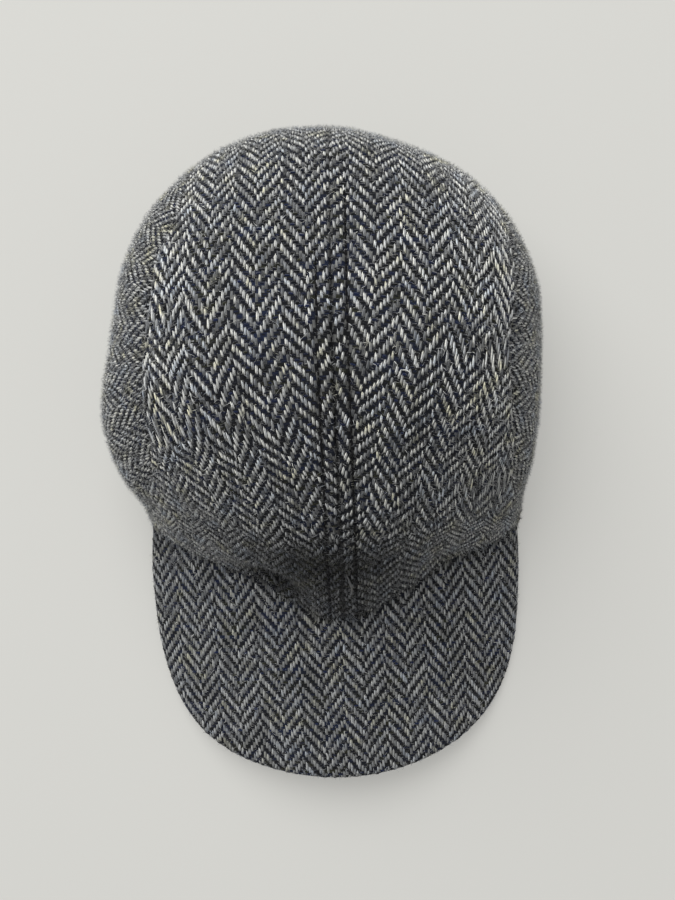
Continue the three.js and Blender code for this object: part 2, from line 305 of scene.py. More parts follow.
@dataclass(frozen=True)
class SeamProfile:
    """The pressed-open centre seam: a narrow valley, a raised band beside it and a stitched groove.

    It grows flatter and fainter towards the back, and its stitches are lost in the wool behind the summit,
    on the left before they are on the right.
    """

    valley_depth: float = 1.1
    valley_spread: float = 0.75
    valley_dark: float = 0.88
    valley_dark_spread: float = 1.0
    band_rise: float = 0.7
    band_inner: float = 1.5
    band_outer: float = 2.5
    stitch_distance: float = 6.0
    stitch_depth: float = 1.2
    stitch_spread: float = 0.75
    stitch_dark: float = 0.7
    stitch_dark_spread: float = 0.9
    stitch_pitch: float = 3.4
    stitch_pull: float = 0.25
    back_loss: float = 0.7
    height_fades: tuple[float, float] = (45, 80)
    shade_fades: tuple[float, float] = (20, 70)
    last_stitch_left: float = 30.0
    last_stitch_right: float = 62.0

    def last_stitch(self, side: Side) -> float:
        """Returns how far behind the summit the stitches of one side can be seen."""
        return self.last_stitch_left if side is Side.LEFT else self.last_stitch_right

    def relief(self, along: np.ndarray) -> np.ndarray:
        """Returns how much of the seam's height is left, by distance behind the summit."""
        return 1 - self.back_loss * smoothstep(*self.height_fades, along)

    def height(self, distance: np.ndarray, along: np.ndarray) -> np.ndarray:
        """Height of the cloth beside the seam.

        Args:
            distance: Distance from the seam in millimetres.
            along: Distance along the seam in millimetres.

        Returns:
            The height over the plain surface in millimetres.
        """
        inner = self.stitch_distance - self.band_inner
        outer = self.stitch_distance + self.band_outer
        band = self.band_rise * (1 - smoothstep(inner, outer, distance))
        valley = self.valley_depth * dip(distance, 0, self.valley_spread)
        pull = (1 - self.stitch_pull) + self.stitch_pull * np.cos(2 * math.pi * along / self.stitch_pitch)
        groove = self.stitch_depth * pull * dip(distance, self.stitch_distance, self.stitch_spread)
        return (band - valley - groove) * self.relief(along)

    def shade(self, distance: np.ndarray, along: np.ndarray) -> np.ndarray:
        """Returns how light the cloth stays beside the seam, where its grooves catch less light."""
        fade = 1 - self.back_loss * smoothstep(*self.shade_fades, along)
        valley = self.valley_dark * dip(distance, 0, self.valley_dark_spread)
        groove = self.stitch_dark * dip(distance, self.stitch_distance, self.stitch_dark_spread)
        return 1 - fade * (valley + groove)


@dataclass(frozen=True)
class HollowShade:
    """Painted shade of the hollow between the crown's brow and the peak, which little light reaches."""

    by_level: Table = (
        (0, 0), (1.6, 0.08), (2.0, 0.58), (2.35, 0.9), (2.7, 0.88), (3.2, 0.7), (4.0, 0.6),
    )
    middle: float = 268
    spread: float = 27
    pocket_dark: float = 0.5
    pocket_azimuth: float = 255
    pocket_width: float = 7
    pocket_level: float = 3.4
    pocket_height: float = 0.35
    darkest: float = 0.08

    def light(self, azimuth: np.ndarray, level: np.ndarray) -> np.ndarray:
        """Returns how light the cloth stays, between 0 and 1."""
        depth = np.interp(level, column(self.by_level, 0), column(self.by_level, 1))
        front = dip(azimuth_from(azimuth, self.middle), 0, self.spread)
        beside = dip(azimuth_from(azimuth, self.pocket_azimuth), 0, self.pocket_width)
        pocket = self.pocket_dark * beside * dip(level, self.pocket_level, self.pocket_height)
        return np.clip(1 - depth * front - pocket, self.darkest, 1)


@dataclass(frozen=True)
class WeaveSizes:
    """Sizes of the herringbone in millimetres, and its counts of threads."""

    warp_pitch: float = 9.85 / 8
    pick_pitch: float = 1.57
    threads: int = 8
    repeat: int = 4
    spare_halves: int = 24
    spare_picks: int = 256

    @property
    def half_stripe(self) -> float:
        """Returns the width of one half of a stripe."""
        return self.warp_pitch * self.threads

    @property
    def origin(self) -> tuple[float, float]:
        """Returns whole repeats that keep every thread's place positive."""
        return self.spare_halves * self.half_stripe, self.spare_picks * self.pick_pitch


WEAVE = WeaveSizes()
CROWN = CrownShape()
SEAM = SeamProfile()
HOLLOW = HollowShade()


class Link:
    """A node tree under construction, with short calls that add and join nodes."""

    def __init__(self, tree: bpy.types.NodeTree) -> None:
        """Keeps the tree."""
        self.tree = tree

    def add(self, kind: str, inputs: Inputs | None = None, **settings: object) -> bpy.types.Node:
        """Adds a node.

        Args:
            kind: The node's type.
            inputs: Values or sockets for the node's inputs, by name or number.
            settings: Attributes set on the node before its inputs.

        Returns:
            The new node.
        """
        node = self.tree.nodes.new(kind)
        for name, value in settings.items():
            setattr(node, name, value)
        for key, value in (inputs or {}).items():
            self.feed(node.inputs[key], value)
        return node

    def feed(self, socket: Socket, value: Feed) -> None:
        """Joins a socket to an input, or sets the input's value."""
        if isinstance(value, bpy.types.NodeSocket):
            self.tree.links.new(value, socket)
        else:
            socket.default_value = value

    def math(self, operation: str, *values: Feed) -> Socket:
        """Adds a Math node and returns its result."""
        return self.add("ShaderNodeMath", dict(enumerate(values)), operation=operation).outputs[0]

    def vector(self, operation: str, inputs: Inputs) -> Socket:
        """Adds a Vector Math node and returns its result."""
        return self.add("ShaderNodeVectorMath", inputs, operation=operation).outputs[0]

    def mix(self, share: Feed, first: Feed, second: Feed, blend: str = "MIX") -> Socket:
        """Adds a colour mix and returns its result."""
        inputs = {0: share, 6: first, 7: second}
        return self.add("ShaderNodeMix", inputs, data_type="RGBA", blend_type=blend).outputs[2]

    def span(
        self, value: Feed, low: float, high: float, start: float = 0.0, end: float = 1.0,
        kind: str = "LINEAR",
    ) -> Socket:
        """Returns a value carried from the range low to high onto the range start to end."""
        inputs = {0: value, 1: low, 2: high, 3: start, 4: end}
        return self.add("ShaderNodeMapRange", inputs, interpolation_type=kind).outputs[0]

    def noise(self, place: Socket, scale: float, detail: float, roughness: float = 0.5) -> Socket:
        """Returns a noise pattern's value at a place."""
        inputs = {"Vector": place, "Scale": scale, "Detail": detail, "Roughness": roughness}
        return self.add("ShaderNodeTexNoise", inputs).outputs[0]

    def combine(self, *values: Feed) -> Socket:
        """Returns a vector made from its parts."""
        return self.add("ShaderNodeCombineXYZ", dict(enumerate(values))).outputs[0]

    def parts(self, vector: Socket) -> Sequence[Socket]:
        """Returns the parts of a vector."""
        return self.add("ShaderNodeSeparateXYZ", {0: vector}).outputs

    def stripe(self, thread: Socket) -> tuple[Socket, Socket]:
        """Returns 1 in each second half stripe and 0 elsewhere, and the way its twill climbs, 1 or -1."""
        half = self.math("FLOOR", self.math("DIVIDE", thread, float(WEAVE.threads)))
        odd = self.math("FLOORED_MODULO", half, 2.0)
        return odd, self.math("SUBTRACT", 1.0, self.math("MULTIPLY", odd, 2.0))


class Laying(Link):
    """A Geometry Nodes group that lays small solids on a carrier, with named inputs and one result."""

    def __init__(self, name: str, inputs: dict[str, str]) -> None:
        """Makes the group.

        Args:
            name: The group's name.
            inputs: The kind of each input, by name.
        """
        tree = bpy.data.node_groups.new(name, "GeometryNodeTree")
        for label, kind in inputs.items():
            tree.interface.new_socket(label, in_out="INPUT", socket_type="NodeSocket" + kind)
        tree.interface.new_socket("Laid", in_out="OUTPUT", socket_type="NodeSocketGeometry")
        super().__init__(tree)
        self.inputs = self.add("NodeGroupInput").outputs

    def named(self, name: str, kind: str = "FLOAT") -> Socket:
        """Returns a named attribute."""
        return self.add("GeometryNodeInputNamedAttribute", {"Name": name}, data_type=kind).outputs[0]

    def store(self, geometry: Socket, name: str, value: Feed, domain: str = "POINT") -> Socket:
        """Stores a number under a name and returns the geometry."""
        inputs = {"Geometry": geometry, "Name": name, "Value": value}
        node = self.add("GeometryNodeStoreNamedAttribute", inputs, data_type="FLOAT", domain=domain)
        return node.outputs[0]

    def random(self, seed: int, low: float = 0.0, high: float = 1.0) -> Socket:
        """Returns a random number for each element."""
        inputs = {2: low, 3: high, "Seed": seed}
        return self.add("FunctionNodeRandomValue", inputs, data_type="FLOAT").outputs[1]

    def random_vector(self, seed: int, low: Vector, high: Vector) -> Socket:
        """Returns a random vector for each element."""
        inputs = {0: low, 1: high, "Seed": seed}
        return self.add("FunctionNodeRandomValue", inputs, data_type="FLOAT_VECTOR").outputs[0]

    def sample(self, sheet: Socket, value: Socket, place: Socket, kind: str = "FLOAT") -> Sequence[Socket]:
        """Reads a sheet's value at a place of its UV map.

        Args:
            sheet: The sheet.
            value: What is read.
            place: The place in the UV map.
            kind: The value's type.

        Returns:
            The value, and whether the sheet reaches the place.
        """
        thread_map = self.named("UVMap", "FLOAT_VECTOR")
        inputs = {"Mesh": sheet, "Value": value, "UV Map": thread_map, "Sample UV": place}
        return self.add("GeometryNodeSampleUVSurface", inputs, data_type=kind).outputs[:2]

    def instances(self, points: Socket, solid: Socket, turn: Socket, size: Socket, **more: Socket) -> Socket:
        """Sets a solid on each point and returns the instances."""
        inputs = {"Points": points, "Instance": solid, "Rotation": turn, "Scale": size} | more
        return self.add("GeometryNodeInstanceOnPoints", inputs).outputs[0]

    def realize(self, instances: Socket) -> Socket:
        """Returns instances made into mesh."""
        return self.add("GeometryNodeRealizeInstances", {0: instances}).outputs[0]

    def finish(self, solid: Socket, material: bpy.types.Material, smooth: bool) -> bpy.types.NodeTree:
        """Ends the group with a plain mesh in its material.

        Args:
            solid: The solids, as instances or mesh.
            material: Their material.
            smooth: Whether their faces are shaded smooth.

        Returns:
            The finished group.
        """
        solid = self.realize(solid)
        if smooth:
            solid = self.add("GeometryNodeSetShadeSmooth", {"Geometry": solid}).outputs[0]
        dressed = self.add("GeometryNodeSetMaterial", {"Geometry": solid, "Material": material}).outputs[0]
        self.feed(self.add("NodeGroupOutput").inputs[0], dressed)
        return self.tree


def new_material(name: str) -> tuple[bpy.types.Material, Link, bpy.types.Node]:
    """Makes a material and returns it with its tree and its main shader."""
    material = bpy.data.materials.new(name)
    material.use_nodes = True
    return material, Link(material.node_tree), material.node_tree.nodes["Principled BSDF"]


def set_inputs(node: bpy.types.Node, values: dict[str, Feed]) -> None:
    """Sets values on a node's own sockets."""
    for name, value in values.items():
        node.inputs[name].default_value = value


@dataclass(frozen=True)
class WoolCloth:
    """The woven ground: dark weft with painted light warp, which also shows inside the cap."""

    name: str = "woven_wool"
    dark: Colour = (0.008, 0.0085, 0.01, 1)
    navy: Colour = (0.01, 0.015, 0.035, 1)
    olive: Colour = (0.022, 0.023, 0.014, 1)
    grey: Colour = (0.2, 0.2, 0.19, 1)
    grey_share: float = 0.06
    shadow: Colour = (0.004, 0.004, 0.005, 1)
    warp_dim: Colour = (0.07, 0.072, 0.075, 1)
    warp_light: Colour = (0.3, 0.3, 0.28, 1)
    warp_share: float = 0.8
    float_start: float = 0.25
    across_power: float = 2.5
    along_power: float = 4.0
    float_edge: tuple[float, float] = (0.55, 1.0)
    navy_range: tuple[float, float] = (0.45, 0.68)
    olive_range: tuple[float, float] = (0.42, 0.3)
    dye_run: float = 0.05
    fibre_scale: float = 1500.0
    tone_scale: float = 500.0
    warp_relief: float = 0.7
    fibre_relief: float = 0.5
    bump_depth: float = 0.4
    bump_strength: float = 0.7
    roughness: float = 0.92
    gloss: float = 0.05
    sheen: float = 0.25
    sheen_roughness: float = 0.3

    def warp_mask(self, link: Link, warp: Socket, pick: Socket) -> Socket:
        """Returns 1 where a warp thread floats over the weft, from the place in threads and picks."""
        thread = link.math("FLOOR", warp)
        odd, sign = link.stripe(thread)
        phase = link.math("ADD", link.math("ADD", pick, odd), link.math("MULTIPLY", sign, thread))
        turn = link.math("FRACT", link.math("DIVIDE", phase, float(WEAVE.repeat)))
        start = self.float_start
        along = link.math("DIVIDE", link.math("ABSOLUTE", link.math("SUBTRACT", turn, start)), start)
        centred = link.math("SUBTRACT", link.math("FRACT", warp), 0.5)
        across = link.math("MULTIPLY", link.math("ABSOLUTE", centred), 2.0)
        side = link.math("POWER", across, self.across_power)
        edge = link.math("MAXIMUM", side, link.math("POWER", along, self.along_power))
        return link.span(edge, *self.float_edge, start=1.0, end=0.0, kind="SMOOTHSTEP")

    def weft_colour(self, link: Link, warp: Socket, pick: Socket) -> Socket:
        """Returns the weft's colour, which runs between dark, navy and olive from pick to pick."""
        place = link.combine(link.math("MULTIPLY", warp, self.dye_run), link.math("FLOOR", pick))
        dye = link.noise(place, scale=1.0, detail=1.0)
        navy_share = link.span(dye, *self.navy_range, kind="SMOOTHSTEP")
        olive_share = link.span(dye, *self.olive_range, kind="SMOOTHSTEP")
        return link.mix(olive_share, link.mix(navy_share, self.dark, self.navy), self.olive)

    def build(self) -> bpy.types.Material:
        """Returns the finished material."""
        material, link, shader = new_material(self.name)
        across, along, _ = link.parts(link.add("ShaderNodeUVMap", uv_map="UVMap").outputs[0])
        warp = link.math("DIVIDE", across, WEAVE.warp_pitch * MM)
        pick = link.math("DIVIDE", along, WEAVE.pick_pitch * MM)
        place = link.add("ShaderNodeTexCoord").outputs["Object"]
        fibre = link.noise(place, self.fibre_scale, detail=2.0, roughness=0.6)
        greyed = link.math("MULTIPLY", fibre, self.grey_share)
        weft = link.mix(greyed, self.weft_colour(link, warp, pick), self.grey)
        thread = link.mix(link.noise(place, self.tone_scale, detail=2.0), self.warp_dim, self.warp_light)
        mask = self.warp_mask(link, warp, pick)
        colour = link.mix(link.math("MULTIPLY", mask, self.warp_share), weft, thread)
        shade = link.add("ShaderNodeAttribute", attribute_name="shade").outputs["Fac"]
        link.feed(shader.inputs["Base Color"], link.mix(shade, self.shadow, colour))
        raised = link.math("MULTIPLY", mask, self.warp_relief)
        height = link.math("ADD", raised, link.math("MULTIPLY", fibre, self.fibre_relief))
        relief = {"Height": height, "Distance": self.bump_depth * MM, "Strength": self.bump_strength}
        link.feed(shader.inputs["Normal"], link.add("ShaderNodeBump", relief).outputs[0])
        set_inputs(shader, {
            "Roughness": self.roughness, "Specular IOR Level": self.gloss,
            "Sheen Weight": self.sheen, "Sheen Roughness": self.sheen_roughness,
        })
        return material


@dataclass(frozen=True)
class Tint:
    """A tint that fades in between two levels of a noise pattern."""

    start: float
    full: float
    colour: Colour


@dataclass(frozen=True)
class Yarn:
    """A yarn whose tone is read from each thread's own attribute."""

    name: str
    tones: tuple[tuple[float, Colour], ...]
    fleck: Colour
    fleck_share: float = 0.25
    fleck_range: tuple[float, float] = (0.42, 0.7)
    tints: tuple[Tint, ...] = (
        Tint(0.45, 0.33, (0.87, 0.93, 1.03, 1)),
        Tint(0.56, 0.68, (1.03, 1.0, 0.82, 1)),
    )
    tint_scale: float = 120.0
    fibre_scale: float = 1800.0
    bump_depth: float = 0.3
    bump_strength: float = 0.6
    roughness: float = 0.85
    gloss: float = 0.1
    sheen: float = 0.3
    sheen_roughness: float = 0.4

    def tone(self, link: Link) -> Socket:
        """Returns the colour that the thread's tone stands for."""
        tone = link.add("ShaderNodeAttribute", attribute_name="tone").outputs["Fac"]
        ramp = link.add("ShaderNodeValToRGB", {0: tone})
        elements = ramp.color_ramp.elements
        while len(elements) > 1:
            elements.remove(elements[-1])
        for index, (place, colour) in enumerate(self.tones):
            element = elements[0] if index == 0 else elements.new(place)
            element.position = place
            element.color = colour
        return ramp.outputs[0]

    def build(self) -> bpy.types.Material:
        """Returns the finished material."""
        material, link, shader = new_material(self.name)
        place = link.add("ShaderNodeTexCoord").outputs["Object"]
        fibre = link.noise(place, self.fibre_scale, detail=2.0, roughness=0.6)
        share = link.span(fibre, *self.fleck_range, end=self.fleck_share)
        colour = link.mix(share, self.tone(link), self.fleck)
        hue = link.noise(place, self.tint_scale, detail=3.0)
        for tint in self.tints:
            tinted = link.mix(1.0, colour, tint.colour, blend="MULTIPLY")
            colour = link.mix(link.span(hue, tint.start, tint.full), colour, tinted)
        link.feed(shader.inputs["Base Color"], colour)
        relief = {"Height": fibre, "Distance": self.bump_depth * MM, "Strength": self.bump_strength}
        link.feed(shader.inputs["Normal"], link.add("ShaderNodeBump", relief).outputs[0])
        set_inputs(shader, {
            "Roughness": self.roughness, "Specular IOR Level": self.gloss,
            "Sheen Weight": self.sheen, "Sheen Roughness": self.sheen_roughness,
        })
        return material


LIGHT_YARN = Yarn(
    name="light_warp_yarn",
    tones=(
        (0.0, (0.015, 0.016, 0.018, 1)),
        (0.15, (0.19, 0.196, 0.205, 1)),
        (0.35, (0.52, 0.527, 0.52, 1)),
        (0.62, (0.88, 0.88, 0.85, 1)),
        (0.85, (0.96, 0.95, 0.87, 1)),
    ),
    fleck=(0.05, 0.055, 0.06, 1),
    fleck_share=0.45,
)
DARK_YARN = Yarn(
    name="dark_weft_yarn",
    tones=(
        (0.0, (0.03, 0.031, 0.018, 1)),
        (0.25, (0.008, 0.0085, 0.01, 1)),
        (0.6, (0.008, 0.009, 0.013, 1)),
        (1.0, (0.012, 0.019, 0.055, 1)),
    ),
    fleck=(0.1, 0.1, 0.1, 1),
    fleck_share=0.1,
    sheen=0.35,
    gloss=0.02,
)
STITCH_YARN = Yarn(
    name="stitching_thread",
    tones=((0.0, (0.006, 0.006, 0.007, 1)), (1.0, (0.01, 0.01, 0.012, 1))),
    fleck=(0.05, 0.05, 0.05, 1),
    fleck_share=0.15,
    sheen=0.1,
    gloss=0.05,
)
FIBRE = Yarn(
    name="loose_wool",
    tones=(
        (0.0, (0.02, 0.02, 0.02, 1)),
        (0.2, (0.24, 0.245, 0.25, 1)),
        (0.6, (0.5, 0.505, 0.5, 1)),
        (1.0, (0.75, 0.75, 0.71, 1)),
    ),
    fleck=(0.3, 0.3, 0.3, 1),
    fleck_share=0.1,
)


def put(name: str, data: bpy.types.Mesh) -> bpy.types.Object:
    """Links a new object that holds the mesh and returns it."""
    item = bpy.data.objects.new(name, data)
    bpy.context.scene.collection.objects.link(item)
    return item


def paint(data: bpy.types.Mesh, name: str, values: np.ndarray) -> None:
    """Stores a number for each point of a mesh."""
    layer = data.attributes.new(name, "FLOAT", "POINT")
    layer.data.foreach_set("value", values.ravel().astype(np.float32))


def set_smooth(data: bpy.types.Mesh) -> None:
    """Shades a mesh's faces smooth."""
    data.polygons.foreach_set("use_smooth", [True] * len(data.polygons))
    data.update()


def face_outwards(data: bpy.types.Mesh, merge: float = 0.0) -> None:
    """Turns a closed mesh's faces outwards.

    Args:
        data: The mesh.
        merge: Points closer than this, in metres, are merged first.
    """
    work = bmesh.new()
    work.from_mesh(data)
    if merge > 0:
        bmesh.ops.remove_doubles(work, verts=work.verts, dist=merge)
        bmesh.ops.dissolve_degenerate(work, edges=work.edges, dist=merge / 10)
    bmesh.ops.recalc_face_normals(work, faces=work.faces)
    work.to_mesh(data)
    work.free()


def grid_faces(index: np.ndarray) -> np.ndarray:
    """Returns the four-sided faces of a grid of points, shape (faces, 4)."""
    return np.stack([index[:-1, :-1], index[:-1, 1:], index[1:, 1:], index[1:, :-1]], axis=-1).reshape(-1, 4)


def grid_normals(points: np.ndarray) -> np.ndarray:
    """Returns normals of a grid of points, facing up where it lies flat."""
    normal = np.cross(np.gradient(points, axis=1), np.gradient(points, axis=0))
    normal /= np.maximum(np.linalg.norm(normal, axis=-1, keepdims=True), 1e-9)
    middle = normal[normal.shape[0] // 2, normal.shape[1] // 2]
    return -normal if middle[2] < 0 else normal


@dataclass
class Sheet:
    """A grid of cloth: where it lies, which way it faces and where its threads run."""

    points: np.ndarray
    normals: np.ndarray
    u: np.ndarray
    v: np.ndarray
    inside: np.ndarray
    shade: np.ndarray

    def thread_map(self) -> np.ndarray:
        """Returns the place of each point across and along the threads, in metres."""
        return (np.stack([self.u.ravel(), self.v.ravel()], axis=1) + WEAVE.origin) * MM

    def mesh(self, name: str) -> bpy.types.Object:
        """Makes the open sheet that threads and fibres are laid on.

        Args:
            name: The object's name.

        Returns:
            The new object, with a UV map in metres and an attribute that is 1 where threads may lie.
        """
        rows, columns = self.points.shape[:2]
        faces = grid_faces(np.arange(rows * columns).reshape(rows, columns))
        data = bpy.data.meshes.new(name)
        data.from_pydata(to_metres(self.points).reshape(-1, 3), [], faces.tolist())
        layer = data.uv_layers.new(name="UVMap")
        layer.data.foreach_set("uv", self.thread_map()[faces.ravel()].ravel())
        paint(data, "inside", self.inside)
        paint(data, "shade", self.shade)
        set_smooth(data)
        return put(name, data)

    def closed(self, name: str, inner: np.ndarray) -> bpy.types.Object:
        """Makes a closed wall of cloth from this outer face and an inner one.

        Args:
            name: The object's name.
            inner: The inner face's points, in the same grid.

        Returns:
            The new object, smooth, closed and facing outwards.
        """
        rows, columns = self.points.shape[:2]
        count = rows * columns
        index = np.arange(count).reshape(rows, columns)
        top = grid_faces(index)
        ring = np.concatenate([index[0, :], index[1:, -1], index[-1, -2::-1], index[-2:0:-1, 0]])
        following = np.roll(ring, -1)
        walls = np.stack([following, ring, ring + count, following + count], axis=-1)
        faces = np.concatenate([top, top[:, ::-1] + count, walls])
        points = np.concatenate([to_metres(self.points).reshape(-1, 3), to_metres(inner).reshape(-1, 3)])
        data = bpy.data.meshes.new(name)
        data.from_pydata(points, [], faces.tolist())
        layer = data.uv_layers.new(name="UVMap")
        layer.data.foreach_set("uv", np.tile(self.thread_map(), (2, 1))[faces.ravel()].ravel())
        paint(data, "shade", np.concatenate([self.shade.ravel(), np.ones(count)]))
        face_outwards(data, merge=1e-6)
        set_smooth(data)
        return put(name, data)


def seam_x(y: np.ndarray) -> np.ndarray:
    """Returns the centre seam's place from side to side, at distances along the cap."""
    behind = y - SUMMIT[1]
    back = behind / math.tan(math.radians(SEAM_BACK))
    front = behind / math.tan(math.radians(SEAM_FRONT))
    return SUMMIT[0] + np.where(behind > 0, back, front)


@dataclass(kw_only=True)
class Panel:
    """A piece of the cap's cloth."""

    node: str
    slot: str = "crown_cloth"
    fibre_seed: int


@dataclass(kw_only=True)
class CrownPanel(Panel):
    """A piece of the crown, with what its top and side pieces share."""

    seam_table: Table
    cloth: float = 2.0
    hem: float = 3.0
    hem_levels: tuple[float, float] = (3.35, 3.5)
    seam_dip: float = 0.35
    seam_dip_spread: float = 1.1
    seam_dark: float = 0.3
    seam_dark_spread: float = 1.6
    seam_slack: float = 0.3
    level_apron: float = 0.05
    level_run: float = 40.0
    ripple_from: float = 8.0
    seam_margin: float = 0.01

    def seam_groove(self, edge: np.ndarray) -> np.ndarray:
        """Returns the depth of the side seam's groove, by distance from it."""
        return self.seam_dip * dip(edge, 0, self.seam_dip_spread)

    def seam_shade(self, edge: np.ndarray) -> np.ndarray:
        """Returns how light the cloth stays beside the side seam."""
        return 1 - self.seam_dark * dip(edge, 0, self.seam_dark_spread)

    def keep_rim(self, points: np.ndarray, plain: np.ndarray, level: np.ndarray) -> None:
        """Sets the rim back to its own height, so that the lower edge stays level."""
        points[..., 2] = np.where(level >= RIM_LEVEL - RIM_MARGIN, plain[..., 2], points[..., 2])

    def inner_face(self, azimuth: np.ndarray, level: np.ndarray) -> np.ndarray:
        """Returns points one thickness behind the plain outer surface, with the rim cut level."""
        thickness = self.cloth + (self.hem - self.cloth) * smoothstep(*self.hem_levels, level)
        outer = CROWN.point(azimuth, level)
        inner = outer - CROWN.normal(azimuth, level) * thickness[..., None]
        self.keep_rim(inner, outer, level)
        return inner


@dataclass(kw_only=True)
class CrownTop(CrownPanel):
    """One half of the crown's top, from the centre seam to the side seam."""

    side: Side
    shift_table: Table
    rows: int = 64
    near_step: float = 0.5
    far_step: float = 1.5
    near_reach: float = 8.0
    gap: float = 0.02
    apron: float = 1.0
    summit_hole: float = 0.02
    ripple_height: float = 0.35
    slope_step: float = 6.0
    widest_share: float = 1.3
    bare_seam: float = 0.55
    bare_seam_front: float = 0.8
    front_ends: float = 20.0
    bare_stitch: float = 0.5

    def azimuths(self, apron: float) -> np.ndarray:
        """Returns the grid's azimuths, closer together beside the centre seam.

        Args:
            apron: How far the grid runs past both ends, in degrees.
        """
        start, end = (SEAM_BACK, SEAM_FRONT) if self.side is Side.LEFT else (SEAM_FRONT, SEAM_BACK + 360)
        near = np.arange(0, self.near_reach, self.near_step)
        middle_count = int((end - start - 2 * self.near_reach) / self.far_step)
        middle = np.linspace(start + self.near_reach, end - self.near_reach, middle_count)
        steps = [start + near, middle, end - near[::-1]]
        if apron > 0:
            steps = [[start - apron]] + steps + [[end + apron]]
        return np.concatenate(steps)

    def lowest(self, azimuth: np.ndarray) -> np.ndarray:
        """Returns the level of the side seam at each azimuth, or of the rim where there is none."""
        first = self.seam_table[0][0]
        turned = first + np.mod(azimuth - first, 360)
        knots = column(self.seam_table, 0)
        level = hermite(knots, column(self.seam_table, 1), np.minimum(turned, knots[-1]))
        return np.where(turned <= knots[-1], np.minimum(level, RIM_LEVEL), RIM_LEVEL)

    def grid(self, apron: float) -> tuple[np.ndarray, np.ndarray, np.ndarray]:
        """Returns the grid's azimuths and levels, and the lowest level at each azimuth.

        Args:
            apron: How far the grid runs past its seams, in degrees.
        """
        azimuth = self.azimuths(apron)
        lowest = self.lowest(azimuth)[:, None]
        last = np.minimum(lowest + (self.level_apron if apron > 0 else 0.0), RIM_LEVEL)
        start = self.summit_hole if apron > 0 else 0.0
        level = start + (last - start) * np.linspace(0, 1, self.rows + 1)
        return np.repeat(azimuth[:, None], self.rows + 1, axis=1), level, lowest

    def shift(self, along: np.ndarray, index: int) -> np.ndarray:
        """Returns one column of the shift table at distances behind the summit."""
        return np.interp(along, column(self.shift_table, 0), column(self.shift_table, index))

    def thread_places(
        self, azimuth: np.ndarray, level: np.ndarray, points: np.ndarray
    ) -> tuple[np.ndarray, ...]:
        """Works out where the stripes and picks run.

        Args:
            azimuth: The grid's azimuths.
            level: The grid's levels.
            points: The plain surface's points there.

        Returns:
            The places across and along the stripes, and the distance from the centre seam, in millimetres.
        """
        length = CROWN.profile_length(azimuth, level)
        radius = np.hypot(points[..., 0] - SUMMIT[0], points[..., 1] - SUMMIT[1])
        spare = length - radius
        angle = np.radians(azimuth)
        away = points[..., 0] - seam_x(points[..., 1]) + spare * np.cos(angle) * np.abs(np.cos(angle))
        along = points[..., 1] - SUMMIT[1] + spare * np.sin(angle) * np.abs(np.sin(angle))
        near = self.shift(along, 1)
        share = np.clip(np.abs(away) / SHIFT_REACH, 0, self.widest_share)
        shift = near + (self.shift(along, 2) - near) * share
        step = self.slope_step
        slope = (self.shift(along + step, 1) - self.shift(along - step, 1)) / (2 * step) * WEAVE.half_stripe
        u = away + self.side.value * shift * WEAVE.half_stripe
        v = along - self.side.value * slope * away
        return u, v, np.abs(away)

    def folds(self, azimuth: np.ndarray, level: np.ndarray) -> Iterator[np.ndarray]:
        """Returns the depth of each fold in the cloth in turn."""
        for centre, middle, across, down, depth, lean in FOLD_TABLE:
            turn = azimuth_from(azimuth, centre)
            yield depth * dip(turn, 0, across) * dip(level, middle + lean * turn, down)

    def sheet(self, apron: float = 0.0) -> Sheet:
        """Builds the outer sheet.

        Args:
            apron: How far the sheet runs past its seams, in degrees.
                A sheet with an apron carries the threads.
        """
        azimuth, level, lowest = self.grid(apron)
        plain = CROWN.point(azimuth, level)
        normals = CROWN.normal(azimuth, level)
        u, v, away = self.thread_places(azimuth, level, plain)
        edge = (lowest - level) * self.level_run
        on_side = lowest < RIM_LEVEL - self.seam_margin
        height = SEAM.height(away, v) - np.where(on_side, self.seam_groove(edge), 0)
        height += self.ripple_height * ripple(plain) * smoothstep(0, self.ripple_from, away)
        for fold in self.folds(azimuth, level):
            height -= fold
        points = plain + normals * height[..., None]
        self.keep_rim(points, plain, level)
        if apron == 0:
            points[0, :, 0] += self.side.value * self.gap
            points[-1, :, 0] += self.side.value * self.gap
            points[:, 0, :] = points[0, 0, :]
        beside_stitch = np.abs(away - SEAM.stitch_distance) < self.bare_stitch
        stitched = beside_stitch & (v < SEAM.last_stitch(self.side))
        bare = np.where(v < self.front_ends, self.bare_seam_front, self.bare_seam)
        inside = (away > bare) & (edge > -self.seam_slack) & ~stitched
        beside_seam = np.where(on_side, self.seam_shade(edge), 1)
        shade = SEAM.shade(away, v) * HOLLOW.light(azimuth, level) * beside_seam
        return Sheet(points, normals, u, v, inside, shade)

    def carrier(self) -> Sheet:
        """Returns the sheet that threads are laid on."""
        return self.sheet(self.apron)

    def build(self) -> bpy.types.Object:
        """Builds the closed wall of cloth and returns it."""
        azimuth, level, _ = self.grid(0.0)
        inner = self.inner_face(azimuth, level)
        inner[:, 0, :] = inner[0, 0, :]
        return self.sheet().closed("cloth_" + self.node, inner)


